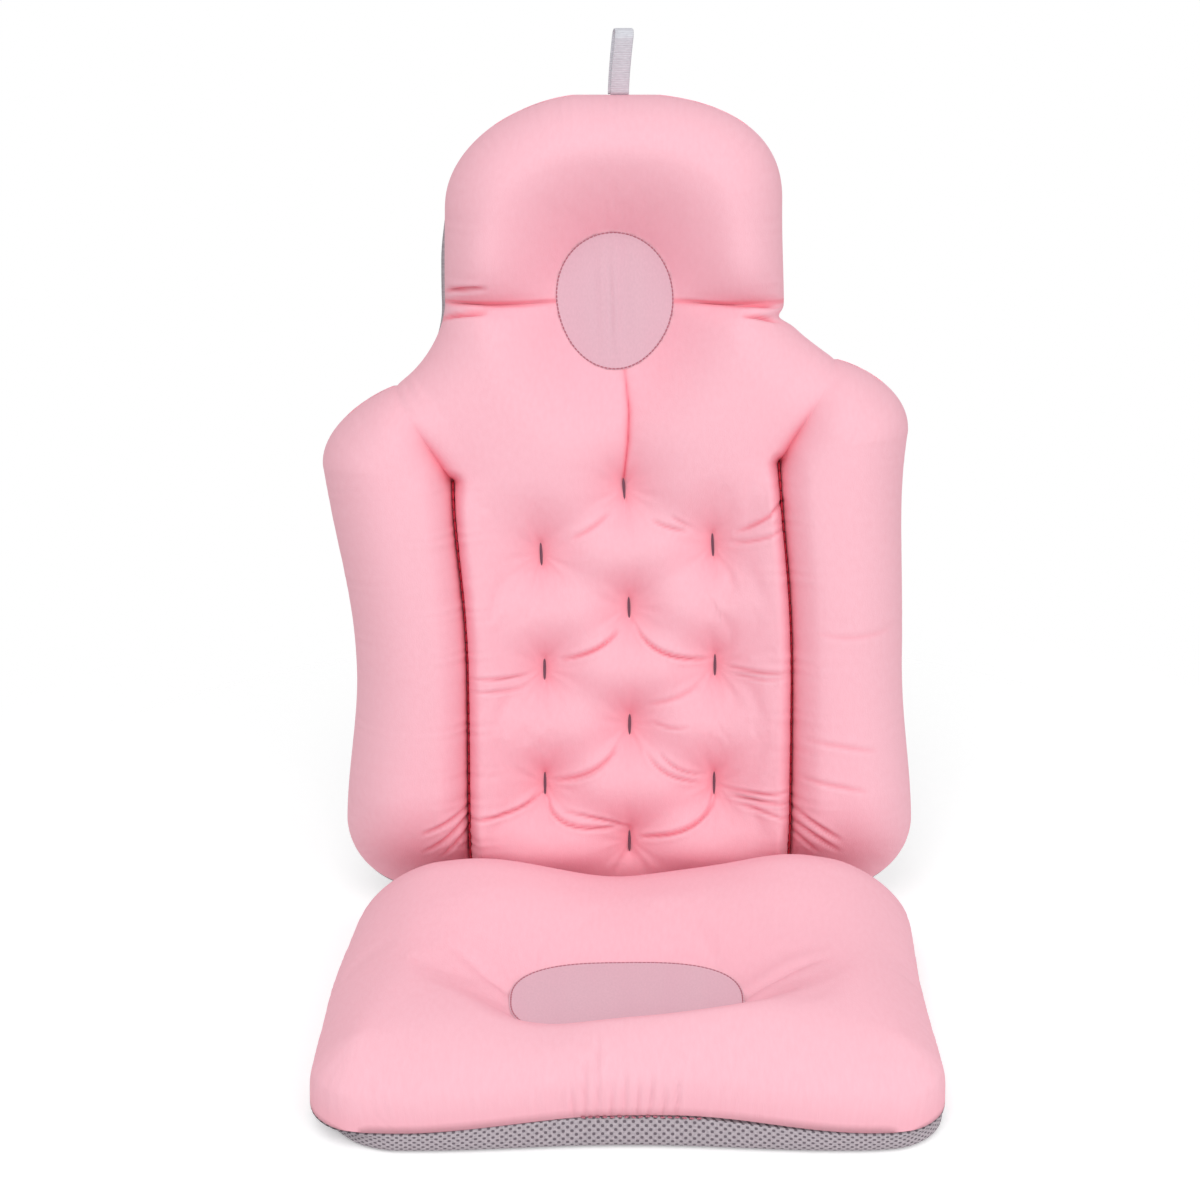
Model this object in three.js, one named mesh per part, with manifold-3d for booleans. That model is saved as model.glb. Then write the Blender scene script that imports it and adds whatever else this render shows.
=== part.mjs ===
// Baby-size bath pillow: a seat, a quilted back, two side bolsters and a head pad, each a stuffed
// cushion with a stretch-jersey front and an air-mesh rear, folding where they are sewn together.
// Millimetres, +Z up, +X to the sitter's left in the front view, the front faces -Y.
// The origin is on the floor under the middle of the seat.
// Every cushion is worked out in its own frame: x across, v along the cushion, w out of its front.
import * as THREE from "three";
import { mergeVertices } from "three/addons/utils/BufferGeometryUtils.js";
import Module from "manifold-3d";

const wasm = await Module();
wasm.setup();

// Cloth and sewing
const COVER = 1.6; // jersey with its wadding, measured square to the seam plane
const MESH = 5; // air-mesh spacer fabric
const MESH_HEM = 0.8; // the mesh pressed flat in a seam
const MESH_TAPER = 14; // width over which the mesh comes back to its full thickness
const PATCH = 1; // sewn-on cloth oval
const LIE = 0.3; // clearance between pieces that touch
const FOLD_ROOM = 1.3; // from a fold line to the cloth edges on either side of it
const STITCH_RADIUS = FOLD_ROOM - LIE; // row of stitching that fills a fold line
const LEAST_PADDING = 2; // stuffing left under a flat patch

// Seat
const SEAT_DEPTH = 250;
const SEAT_FRONT_WIDTH = 352;
const SEAT_REAR_WIDTH = 322;
const SEAT_DRAW_IN = 1.5; // how far each side is pulled in half way back
const SEAT_FRONT_CORNER = 34;
const SEAT_REAR_CORNER = 42;
const SEAT_RIM = 12; // height of the seam between jersey and mesh along the sides
const SEAT_GATHERED_RIM = 21; // the same seam where it is gathered up, in the middle of the front
const SEAT_CORNER_RIM = 7; // the same seam at the front corners
const SEAT_REAR_RIM = 8; // the same seam at the fold
const SEAT_RIM_DROP = 60; // length over which the seam changes from front to side and from side to fold
const SEAT_FRONT_CROWN = 46;
const SEAT_REAR_CROWN = 58;
const SEAT_HUMP = 8; // extra fullness on each side of the rear
const SEAT_HUMP_OFFSET = 92; // top of a hump, from the centre line
const SEAT_HUMP_SPREAD = 40;
const SEAT_SAG = 6; // how far the rear sags between the humps
const SEAT_SAG_SPREAD = 34;
const SEAT_EDGE_ROLL = 46; // width of the rounded front and sides
const SEAT_REAR_ROLL = 76;
const SEAT_BASE_ROLL = 16; // rounding between the mesh rim and the flat base
const SEAT_PATCH_WIDTH = 132;
const SEAT_PATCH_DEPTH = 72;
const SEAT_PATCH_FORWARD = 41; // centre of the patch in front of the origin
const SEAT_HOLLOW = 0.45; // share of the crown left under the patch
const SEAT_HOLLOW_REACH = 58; // from the patch's edge to the full crown
const SEAT_FRONT_REACH = 28; // the same in front of the patch, up to the front roll

// Fold between seat and back
const FOLD_HEIGHT = 6;
const FOLD_STITCH_RADIUS = 2.5; // rolled seam along the fold
const BACK_LEAN = 14; // degrees from upright

// Back
const SEAM_OFFSET = 97; // side seams, from the centre line
const SEAM_TOP = 272; // upper end of the side seams, along the back
const SHOULDER_POINT_OFFSET = 131; // where the shoulder crease meets the outline
const SHOULDER_POINT = 329.5;
const NECK = 372; // neck crease, along the back
const NECK_HALF_WIDTH = 101;
const SHOULDER_HOLLOW = 2; // power of the curve from shoulder to neck
const BACK_CROWN = 42;
const BACK_SIDE_ROLL = 27;
const BACK_FOOT_ROLL = 64;
const NECK_ROLL = 30;
const TACK_COLUMN = 51.5; // outer columns of bar tacks, from the centre line
const TACK_PITCH = 72;
const LOWEST_TACK = 44; // along the back
const TACK_LENGTH = 14;
const TACK_WIDTH = 1.8;
const TACK_DEPTH = 0.72; // share of the crown that a tack pulls down
const TACK_SPREAD = 21;
const QUILT_DEPTH = 0.22; // soft crease from tack to tack
const QUILT_SPREAD = 12;
const CENTRE_CREASE_DEPTH = 0.42; // from the nape patch to the highest tack
const CENTRE_CREASE_SPREAD = 13;

// Nape patch, half on the back and half on the head
const NAPE_WIDTH = 70;
const NAPE_HEIGHT = 82;
const NAPE_REACH = 58; // from the patch's edge to the full crown

// Head
const HEAD_LENGTH = 122; // from the neck crease to the tip
const HEAD_HALF_WIDTH = 100;
const HEAD_ROUND = 64; // length of the rounded upper end
const HEAD_ROUND_POWER = 2.4;
const HEAD_TOP_EDGE = 1.2; // the flat middle of the upper edge lies this far below its tip
const HEAD_CROWN = 50;
const HEAD_EDGE_ROLL = 42; // width of the rounded sides and upper end

// Bolsters
const BOLSTER_FOOT = 12; // lower end, along the back
const BOLSTER_WAIST = 164.5; // outer edge at its narrowest, from the centre line
const BOLSTER_WAIST_AT = 150;
const BOLSTER_CHEST = 175; // outer edge at its widest
const BOLSTER_CHEST_AT = 285;
const BOLSTER_SLOPE = 0.8; // power of the curve from the chest over the shoulder; 0.5 is a quarter ellipse
const BOLSTER_FLARE = 7.5; // the outer edge near the foot, beyond the waist
const BOLSTER_FLARE_LENGTH = 100;
const BOLSTER_FOOT_CORNER = 44;
const BOLSTER_TIP = 1.5; // the upper edge lies this far below the shoulder point
const BOLSTER_CROWN = 58;
const BOLSTER_INNER_ROLL = 27;
const BOLSTER_EDGE_ROLL = 38; // width of the rounded outer side and upper end
const BOLSTER_FOOT_ROLL = 78;

// Hanging loop of folded ribbon
const RIBBON_WIDTH = 11;
const LOOP_HEIGHT = 39;
const LOOP_OUTER_RADIUS = 6;
const LOOP_INNER_RADIUS = 5;
const LOOP_ROOT_RADIUS = 1.15; // the two ends of the ribbon, sewn together
const LOOP_CLOSED = 6; // height over which the two ends lie together

// Finishes
const finish = (color, roughness) => new THREE.MeshStandardMaterial({ color, roughness, metalness: 0 });
const JERSEY = finish(0xf9bcc8, 0.9);
const AIR_MESH = finish(0xb0a6ac, 0.95);
const PATCH_CLOTH = finish(0xe4b4c2, 0.9);
const THREAD = finish(0x966e7d, 0.8);
const RIBBON = finish(0xd4cbd6, 0.7);
const FIBRE = finish(0xf4f1ec, 1);

// Profiles

// Part of the way from an edge to a place `reach` in from it, kept between 0 and 1.
const share = (distance, reach) => Math.min(1, Math.max(0, distance / reach));

// Height beside a fold: a slanted start, so that the valley can open and close.
const foldRise = (distance, reach) => Math.sin((share(distance, reach) * Math.PI) / 2);

// Height beside a free edge: a quarter ellipse, upright at the edge.
const rollRise = (distance, reach) => Math.sqrt(1 - (1 - share(distance, reach)) ** 2);

// How far a round corner draws an outline in, at a distance from the end of the piece.
const cornerInset = (fromEnd, radius) => radius - Math.sqrt(radius ** 2 - Math.max(0, radius - fromEnd) ** 2);

// A pull that fades with distance.
const pull = (distance, spread) => Math.exp(-((distance / spread) ** 2));

const lerp = (a, b, t) => a + (b - a) * t;

// Distance to an outline that slants from an edge `aside` to another `ahead`.
const slantDistance = (aside, ahead) => (aside * ahead) / Math.max(Math.hypot(aside, ahead), LIE);

// Distance from a place to a straight line between two others.
function lineDistance(x, v, [x0, v0], [x1, v1]) {
  const along = share((x - x0) * (x1 - x0) + (v - v0) * (v1 - v0), (x1 - x0) ** 2 + (v1 - v0) ** 2);
  return Math.hypot(x - lerp(x0, x1, along), v - lerp(v0, v1, along));
}

// Grids and layers

// Evenly spaced places from one end up to, but not including, the other.
const spaced = (from, to, count) => Array.from({ length: count }, (_, k) => lerp(from, to, k / count));

// Places that crowd towards both ends, for rounded edges; both ends are included.
function crowded(from, to, count) {
  const place = (k) => (k + Math.sin((k * Math.PI) / 2)) / 2;
  return Array.from({ length: count + 1 }, (_, k) => lerp(from, to, (place((2 * k) / count - 1) + 1) / 2));
}

// Plan points of a cushion: each row runs from its left outline to its right one.
const planGrid = (rows, shares, leftAt, rightAt) =>
  rows.map((v) => shares.map((t) => [lerp(leftAt(v), rightAt(v), t), v]));

// The same grid without its outer ring of points.
const withoutRim = (grid) => grid.slice(1, -1).map((row) => row.slice(1, -1));

// Fewer rows and columns of a grid, with its outline kept.
const thinned = (grid, rowStep, columnStep) => {
  const kept = (list, step) => list.filter((_, k) => k % step === 0 || k === list.length - 1);
  return kept(grid, rowStep).map((row) => kept(row, columnStep));
};

// The closed layer between two heights over one grid.
function layer(grid, topAt, bottomAt) {
  const rows = grid.length;
  const columns = grid[0].length;
  const heights = [topAt, bottomAt];
  const positions = heights.flatMap((heightAt) => grid.flat().flatMap(([x, v]) => [x, v, heightAt(x, v)]));
  const top = (j, i) => j * columns + i;
  const bottom = (j, i) => (rows + j) * columns + i;
  const faces = [];
  for (let j = 0; j + 1 < rows; j++)
    for (let i = 0; i + 1 < columns; i++) {
      faces.push(top(j, i), top(j, i + 1), top(j + 1, i + 1));
      faces.push(top(j, i), top(j + 1, i + 1), top(j + 1, i));
      faces.push(bottom(j, i), bottom(j + 1, i + 1), bottom(j, i + 1));
      faces.push(bottom(j, i), bottom(j + 1, i), bottom(j + 1, i + 1));
    }
  const rim = [];
  for (let i = 0; i + 1 < columns; i++) rim.push([0, i]);
  for (let j = 0; j + 1 < rows; j++) rim.push([j, columns - 1]);
  for (let i = columns - 1; i > 0; i--) rim.push([rows - 1, i]);
  for (let j = rows - 1; j > 0; j--) rim.push([j, 0]);
  rim.forEach((from, k) => {
    const to = rim[(k + 1) % rim.length];
    faces.push(bottom(...from), bottom(...to), top(...to));
    faces.push(bottom(...from), top(...to), top(...from));
  });
  const geometry = new THREE.BufferGeometry();
  geometry.setAttribute("position", new THREE.Float32BufferAttribute(positions, 3));
  geometry.setIndex(faces);
  geometry.computeVertexNormals();
  return geometry;
}

// Solids, for the pieces that are cut to an outline.
function solidOf(geometry) {
  const bare = new THREE.BufferGeometry();
  bare.setAttribute("position", geometry.getAttribute("position"));
  bare.setIndex(geometry.index);
  const merged = mergeVertices(bare, 1e-4);
  const triVerts = new Uint32Array(merged.index.array);
  const vertProperties = merged.getAttribute("position").array;
  return new wasm.Manifold(new wasm.Mesh({ numProp: 3, vertProperties, triVerts }));
}

function geometryOf(solid) {
  const mesh = solid.getMesh();
  const geometry = new THREE.BufferGeometry();
  geometry.setAttribute("position", new THREE.BufferAttribute(mesh.vertProperties, mesh.numProp));
  geometry.setIndex(new THREE.BufferAttribute(mesh.triVerts, 1));
  geometry.computeVertexNormals();
  return geometry;
}

// A thin piece sewn on a cushion's front: what an upright outline cuts out of a layer on the cover.
function sewnOn(grid, frontAt, outline, thickness) {
  const onTop = layer(grid, (x, v) => frontAt(x, v) + LIE + thickness, (x, v) => frontAt(x, v) + LIE);
  const reach = 2 * Math.max(BACK_CROWN, HEAD_CROWN, SEAT_RIM + SEAT_REAR_CROWN);
  const prism = new THREE.ExtrudeGeometry(outline, { depth: 2 * reach, bevelEnabled: false });
  prism.translate(0, 0, -reach);
  return geometryOf(solidOf(onTop).intersect(solidOf(prism)));
}

// A closed outline between an ellipse and a rectangle; a power of 2 is an ellipse.
function ovalOutline(x, v, width, height, power, points) {
  const bow = (c) => Math.sign(c) * Math.abs(c) ** (2 / power);
  const at = (k) => (2 * Math.PI * k) / points;
  const across = (a) => x + (width / 2) * bow(Math.cos(a));
  const along = (a) => v + (height / 2) * bow(Math.sin(a));
  const place = (a) => new THREE.Vector2(across(a), along(a));
  return new THREE.Shape(Array.from({ length: points }, (_, k) => place(at(k))));
}

// A straight row of stitching between two places in the seam plane.
function stitchRow([x0, v0], [x1, v1], radius) {
  const length = Math.hypot(x1 - x0, v1 - v0);
  const row = new THREE.CylinderGeometry(radius, radius, length, 10);
  row.rotateZ(Math.atan2(v1 - v0, x1 - x0) - Math.PI / 2);
  return row.translate((x0 + x1) / 2, (v0 + v1) / 2, 0);
}

function piece(parent, name, geometry, material) {
  const mesh = new THREE.Mesh(geometry, material);
  mesh.name = name;
  parent.add(mesh);
}

// A cushion of the upright part, from its crown and distance to an edge: front cover, stuffing, rear mesh.
function cushion(parent, name, grid, crownAt, edgeAt, meshSteps) {
  const half = LIE / 2;
  const inside = (x, v) => half + crownAt(x, v);
  const front = (x, v) => inside(x, v) + COVER;
  const rear = (x, v) => -half - MESH_HEM - (MESH - MESH_HEM) * foldRise(edgeAt(x, v), MESH_TAPER);
  piece(parent, `${name}_cover`, layer(grid, front, inside), JERSEY);
  piece(parent, `${name}_filling`, layer(withoutRim(grid), (x, v) => inside(x, v) - LIE, () => half), FIBRE);
  piece(parent, `${name}_mesh`, layer(thinned(grid, ...meshSteps), () => -half, rear), AIR_MESH);
  return front;
}

const pillow = new THREE.Group();

// Seat

const seatEnd = SEAT_DEPTH / 2; // front and rear edges, from the origin
const foldEdge = FOLD_STITCH_RADIUS + LIE;
const foldBehind = seatEnd + foldEdge;

// Half the seat's width at a place along its depth: a taper, drawn-in sides and round corners.
function seatHalfWidth(y) {
  const taper = lerp(SEAT_FRONT_WIDTH, SEAT_REAR_WIDTH, share(y + seatEnd, SEAT_DEPTH)) / 2;
  const drawn = SEAT_DRAW_IN * (1 - (y / seatEnd) ** 2);
  const corners = cornerInset(y + seatEnd, SEAT_FRONT_CORNER) + cornerInset(seatEnd - y, SEAT_REAR_CORNER);
  return taper - drawn - corners;
}

// Height of the seam between jersey and mesh: gathered up in mid-front, low at the corners and the fold.
function seatSeam(x, y) {
  const front = lerp(SEAT_GATHERED_RIM, SEAT_CORNER_RIM, share(Math.abs(x), SEAT_FRONT_WIDTH / 2));
  const level = lerp(front, SEAT_RIM, share(y + seatEnd, SEAT_RIM_DROP));
  return lerp(level, SEAT_REAR_RIM, foldRise(y - seatEnd + SEAT_RIM_DROP, SEAT_RIM_DROP));
}

// How far a place is outside the seat patch: 0 on it, then millimetres.
function seatPatchDistance(x, y) {
  const ring = Math.hypot(x / (SEAT_PATCH_WIDTH / 2), (y + SEAT_PATCH_FORWARD) / (SEAT_PATCH_DEPTH / 2));
  return Math.max(0, ring - 1) * ((SEAT_PATCH_WIDTH + SEAT_PATCH_DEPTH) / 4);
}

// Stuffing of the seat: fuller behind, with a hump on each side, rolled edges and a dish round the patch.
function seatCrown(x, y) {
  const hump = SEAT_HUMP * pull(Math.abs(x) - SEAT_HUMP_OFFSET, SEAT_HUMP_SPREAD);
  const rear = SEAT_REAR_CROWN + hump - SEAT_SAG * pull(x, SEAT_SAG_SPREAD);
  const height = lerp(SEAT_FRONT_CROWN, rear, share(y + seatEnd, SEAT_DEPTH));
  const edge = slantDistance(seatHalfWidth(y) - Math.abs(x), y + seatEnd);
  const ends = rollRise(edge, SEAT_EDGE_ROLL) * foldRise(seatEnd - y, SEAT_REAR_ROLL);
  const forward = share(-SEAT_PATCH_FORWARD - y, SEAT_PATCH_DEPTH / 2);
  const reach = lerp(SEAT_HOLLOW_REACH, SEAT_FRONT_REACH, forward);
  return height * ends * lerp(SEAT_HOLLOW, 1, foldRise(seatPatchDistance(x, y), reach));
}

function makeSeat() {
  const seat = new THREE.Group();
  const grid = planGrid(
    crowded(-seatEnd, seatEnd, 14),
    crowded(0, 1, 15),
    (y) => -seatHalfWidth(y),
    (y) => seatHalfWidth(y),
  );
  const inside = (x, y) => seatSeam(x, y) + LIE / 2 + seatCrown(x, y);
  const front = (x, y) => inside(x, y) + COVER;
  const edge = (x, y) => Math.min(seatHalfWidth(y) - Math.abs(x), y + seatEnd, seatEnd - y);
  const underside = (x, y) => (seatSeam(x, y) - LIE / 2 - MESH) * (1 - rollRise(edge(x, y), SEAT_BASE_ROLL));
  piece(seat, "seat_cover", layer(grid, front, inside), JERSEY);
  piece(seat, "seat_mesh", layer(grid, (x, y) => underside(x, y) + MESH, underside), AIR_MESH);
  const stuffing = layer(
    withoutRim(grid),
    (x, y) => inside(x, y) - LIE,
    (x, y) => underside(x, y) + MESH + LIE,
  );
  piece(seat, "seat_filling", stuffing, FIBRE);
  const patch = ovalOutline(0, -SEAT_PATCH_FORWARD, SEAT_PATCH_WIDTH, SEAT_PATCH_DEPTH, 2.6, 40);
  piece(seat, "seat_patch", sewnOn(grid, front, patch, PATCH), PATCH_CLOTH);
  const straightRear = SEAT_REAR_WIDTH - 2 * SEAT_REAR_CORNER;
  const rolled = new THREE.CylinderGeometry(FOLD_STITCH_RADIUS, FOLD_STITCH_RADIUS, straightRear, 12);
  rolled.rotateZ(Math.PI / 2).translate(0, foldBehind, FOLD_HEIGHT);
  piece(seat, "fold_seam", rolled, JERSEY);
  return seat;
}

// Back

const backFoot = foldEdge;
const backTop = NECK - FOLD_ROOM;
const tacks = Array.from({ length: 7 }, (_, k) => LOWEST_TACK + (k * TACK_PITCH) / 2);
const tackPlaces = tacks.flatMap((v, k) => (k % 2 ? [[-TACK_COLUMN, v], [TACK_COLUMN, v]] : [[0, v]]));
const highestTack = tacks[tacks.length - 1];

// The side seam and, above its end, the straight shoulder crease.
const creaseOffset = (v) =>
  lerp(SEAM_OFFSET, SHOULDER_POINT_OFFSET, share(v - SEAM_TOP, SHOULDER_POINT - SEAM_TOP));

// Half the back panel's width: up the seam and the crease, then over the shoulder to the neck.
function backHalfWidth(v) {
  const over = (1 - share(v - SHOULDER_POINT, NECK - SHOULDER_POINT)) ** SHOULDER_HOLLOW;
  const outline = v < SHOULDER_POINT ? creaseOffset(v) : lerp(NECK_HALF_WIDTH, SHOULDER_POINT_OFFSET, over);
  return outline - FOLD_ROOM;
}

// How far a place is outside the nape patch: 0 on it, then millimetres.
function napeDistance(x, v) {
  const ring = Math.hypot(x / (NAPE_WIDTH / 2), (v - NECK) / (NAPE_HEIGHT / 2));
  return Math.max(0, ring - 1) * ((NAPE_WIDTH + NAPE_HEIGHT) / 4);
}

// Stuffing round the nape patch: the full crown away from it, the least padding under it.
const roundNape = (x, v, crown) => lerp(LEAST_PADDING, crown, foldRise(napeDistance(x, v), NAPE_REACH));

// What the tacks, the soft creases between them and the centre crease leave of the crown.
function quilting(x, v) {
  let left = 1;
  for (const [tackX, tackV] of tackPlaces) {
    const beyond = Math.max(0, Math.abs(v - tackV) - TACK_LENGTH / 2);
    left *= 1 - TACK_DEPTH * pull(Math.hypot(x - tackX, beyond), TACK_SPREAD);
  }
  for (const from of tackPlaces)
    for (const to of tackPlaces)
      if (from[0] === 0 && to[0] !== 0 && Math.abs(from[1] - to[1]) < TACK_PITCH)
        left *= 1 - QUILT_DEPTH * pull(lineDistance(x, v, from, to), QUILT_SPREAD);
  const crease = lineDistance(x, v, [0, highestTack], [0, NECK - NAPE_HEIGHT / 2]);
  return left * (1 - CENTRE_CREASE_DEPTH * pull(crease, CENTRE_CREASE_SPREAD));
}

const backEdge = (x, v) => Math.min(backHalfWidth(v) - Math.abs(x), v - backFoot, backTop - v);

function backCrown(x, v) {
  const sides = foldRise(backHalfWidth(v) - Math.abs(x), BACK_SIDE_ROLL);
  const ends = foldRise(v - backFoot, BACK_FOOT_ROLL) * foldRise(backTop - v, NECK_ROLL);
  return roundNape(x, v, BACK_CROWN * sides * ends * quilting(x, v)) * foldRise(sides, LIE);
}

function makeBack() {
  const back = new THREE.Group();
  const tackShare = TACK_COLUMN / SEAM_OFFSET;
  const columns = spaced(-1, 1, 24).concat(1);
  const rows = [
    ...spaced(backFoot, LOWEST_TACK, 3),
    ...spaced(LOWEST_TACK, highestTack, 18),
    highestTack,
    ...spaced(SEAM_TOP, SHOULDER_POINT, 5),
    ...spaced(SHOULDER_POINT, backTop, 3),
    backTop,
  ];
  const shares = columns.map((k) => (1 + k + (tackShare - 1 / 2) * Math.sin(k * Math.PI)) / 2);
  const grid = planGrid(rows, shares, (v) => -backHalfWidth(v), (v) => backHalfWidth(v));
  const front = cushion(back, "back", grid, backCrown, backEdge, [1, 6]);
  tackPlaces.forEach(([x, v], k) => {
    const slit = ovalOutline(x, v, TACK_WIDTH, TACK_LENGTH, 6, 12);
    piece(back, `bar_tack_${k + 1}`, sewnOn(grid, front, slit, PATCH), THREAD);
  });
  for (const [side, sign] of [["left", -1], ["right", 1]]) {
    const seam = stitchRow([sign * SEAM_OFFSET, BOLSTER_FOOT], [sign * SEAM_OFFSET, SEAM_TOP], STITCH_RADIUS);
    piece(back, `${side}_side_seam`, seam, THREAD);
    const neck = stitchRow([(sign * NAPE_WIDTH) / 2, NECK], [sign * NECK_HALF_WIDTH, NECK], STITCH_RADIUS);
    piece(back, `${side}_neck_seam`, neck, THREAD);
  }
  piece(back, "nape_patch_lower", sewnOn(grid, front, napeOutline(), PATCH), PATCH_CLOTH);
  return back;
}

const napeOutline = () => ovalOutline(0, NECK, NAPE_WIDTH, NAPE_HEIGHT, 2, 32);

// Head

const headFoot = NECK + FOLD_ROOM;
const headTip = NECK + HEAD_LENGTH;
const headTop = headTip - HEAD_TOP_EDGE;

// Half the head's width: a little wider at the neck, round at the upper end.
function headHalfWidth(v) {
  const taper = lerp(NECK_HALF_WIDTH, HEAD_HALF_WIDTH, share(v - NECK, HEAD_LENGTH - HEAD_ROUND));
  const up = share(v - headTip + HEAD_ROUND, HEAD_ROUND);
  return taper * (1 - up ** HEAD_ROUND_POWER) ** (1 / HEAD_ROUND_POWER);
}

const headEdge = (x, v) => Math.min(headHalfWidth(v) - Math.abs(x), v - headFoot, headTop - v);

function headCrown(x, v) {
  const edge = slantDistance(headHalfWidth(v) - Math.abs(x), headTop - v);
  const crown = HEAD_CROWN * rollRise(edge, HEAD_EDGE_ROLL) * foldRise(v - headFoot, NECK_ROLL);
  return roundNape(x, v, crown) * foldRise(edge, LIE);
}

function makeHead() {
  const head = new THREE.Group();
  const rows = crowded(headFoot, headTop, 12);
  const grid = planGrid(rows, crowded(0, 1, 12), (v) => -headHalfWidth(v), (v) => headHalfWidth(v));
  const front = cushion(head, "head", grid, headCrown, headEdge, [2, 2]);
  piece(head, "nape_patch_upper", sewnOn(grid, front, napeOutline(), PATCH), PATCH_CLOTH);
  return head;
}

// Bolsters

const bolsterTop = SHOULDER_POINT - BOLSTER_TIP;

const bolsterInner = (v) => creaseOffset(v) + FOLD_ROOM;

// Outer edge: a waist, a flared foot with a round corner and a sloping curve over the shoulder.
function bolsterOuter(v) {
  const up = share(v - BOLSTER_WAIST_AT, BOLSTER_CHEST_AT - BOLSTER_WAIST_AT);
  const belly = lerp(BOLSTER_WAIST, BOLSTER_CHEST, up ** 2);
  const flare = BOLSTER_FLARE * foldRise(BOLSTER_WAIST_AT - v, BOLSTER_FLARE_LENGTH);
  const side = belly + flare - cornerInset(v - BOLSTER_FOOT, BOLSTER_FOOT_CORNER);
  const over = share(v - BOLSTER_CHEST_AT, SHOULDER_POINT - BOLSTER_CHEST_AT);
  const shoulder = lerp(SHOULDER_POINT_OFFSET, BOLSTER_CHEST, (1 - over ** 2) ** BOLSTER_SLOPE);
  return v < BOLSTER_CHEST_AT ? side : shoulder + FOLD_ROOM * over;
}

const bolsterEdge = (x, v) =>
  Math.min(Math.abs(x) - bolsterInner(v), bolsterOuter(v) - Math.abs(x), v - BOLSTER_FOOT, bolsterTop - v);

function bolsterCrown(x, v) {
  const inner = foldRise(Math.abs(x) - bolsterInner(v), BOLSTER_INNER_ROLL);
  const outer = rollRise(slantDistance(bolsterOuter(v) - Math.abs(x), bolsterTop - v), BOLSTER_EDGE_ROLL);
  return BOLSTER_CROWN * inner * outer * foldRise(v - BOLSTER_FOOT, BOLSTER_FOOT_ROLL);
}

function makeBolster(side, sign) {
  const bolster = new THREE.Group();
  const rows = [
    ...spaced(BOLSTER_FOOT, BOLSTER_FOOT + BOLSTER_FOOT_CORNER, 4),
    ...spaced(BOLSTER_FOOT + BOLSTER_FOOT_CORNER, SEAM_TOP, 8),
    ...crowded(SEAM_TOP, bolsterTop, 6),
  ];
  const leftAt = sign > 0 ? bolsterInner : (v) => -bolsterOuter(v);
  const rightAt = sign > 0 ? bolsterOuter : (v) => -bolsterInner(v);
  const grid = planGrid(rows, crowded(0, 1, 6), leftAt, rightAt);
  cushion(bolster, `${side}_bolster`, grid, bolsterCrown, bolsterEdge, [2, 2]);
  return bolster;
}

// Hanging loop

// A folded ribbon seen from its edge: a slim drop standing on its sewn root.
function makeLoop() {
  const crownAt = LOOP_HEIGHT - LOOP_OUTER_RADIUS;
  const arc = (height, radius, from, to) => new THREE.ArcCurve(0, height, radius, from, to).getPoints(10);
  const root = arc(LOOP_ROOT_RADIUS, LOOP_ROOT_RADIUS, Math.PI, 2 * Math.PI);
  const outline = new THREE.Shape([...root, ...arc(crownAt, LOOP_OUTER_RADIUS, 0, Math.PI)]);
  const closed = new THREE.Vector2(0, LOOP_CLOSED);
  outline.holes.push(new THREE.Path([closed, ...arc(crownAt, LOOP_INNER_RADIUS, 0, Math.PI)]));
  const ribbon = new THREE.ExtrudeGeometry(outline, { depth: RIBBON_WIDTH, bevelEnabled: false });
  ribbon.translate(0, 0, -RIBBON_WIDTH / 2);
  const across = new THREE.Vector3(1, 0, 0);
  const behind = new THREE.Vector3(0, 1, 0);
  const upward = new THREE.Vector3(0, 0, 1);
  ribbon.applyMatrix4(new THREE.Matrix4().makeBasis(behind, upward, across));
  const loop = new THREE.Group();
  piece(loop, "hang_loop", ribbon, RIBBON);
  return loop;
}

// Assembly: the upright cushions share a leaning frame on the fold line; the loop stands on the head's top.
const lean = THREE.MathUtils.degToRad(BACK_LEAN);
const upright = makeBack();
upright.add(makeHead(), makeBolster("left", -1), makeBolster("right", 1));
upright.position.set(0, foldBehind, FOLD_HEIGHT);
upright.rotation.x = Math.PI / 2 - lean;

const loop = makeLoop();
const loopSeat = headTop + LIE;
loop.position.set(0, foldBehind + loopSeat * Math.sin(lean), FOLD_HEIGHT + loopSeat * Math.cos(lean));

pillow.add(makeSeat(), upright, loop);

export default pillow;
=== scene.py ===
import math

import bpy
import numpy as np
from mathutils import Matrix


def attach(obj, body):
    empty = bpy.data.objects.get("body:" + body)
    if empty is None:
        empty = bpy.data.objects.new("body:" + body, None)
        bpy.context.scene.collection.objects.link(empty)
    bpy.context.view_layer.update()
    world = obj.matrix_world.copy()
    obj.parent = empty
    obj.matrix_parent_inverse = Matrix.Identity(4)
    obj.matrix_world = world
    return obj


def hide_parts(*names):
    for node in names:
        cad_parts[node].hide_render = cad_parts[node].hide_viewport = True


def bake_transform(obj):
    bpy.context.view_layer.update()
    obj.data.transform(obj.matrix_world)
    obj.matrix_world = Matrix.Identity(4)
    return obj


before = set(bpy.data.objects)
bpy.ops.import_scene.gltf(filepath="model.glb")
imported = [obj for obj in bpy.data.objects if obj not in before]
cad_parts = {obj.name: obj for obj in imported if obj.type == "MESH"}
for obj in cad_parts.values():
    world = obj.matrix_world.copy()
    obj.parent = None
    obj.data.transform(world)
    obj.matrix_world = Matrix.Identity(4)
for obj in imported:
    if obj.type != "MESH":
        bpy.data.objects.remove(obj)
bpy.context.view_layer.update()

# Working sizes are millimetres; meshes are written in metres.
MM = 0.001

# Leaning frame of the upright cushions
LEAN = math.radians(14)
FOLD_Y = 127.8
FOLD_Z = 6.0

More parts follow.
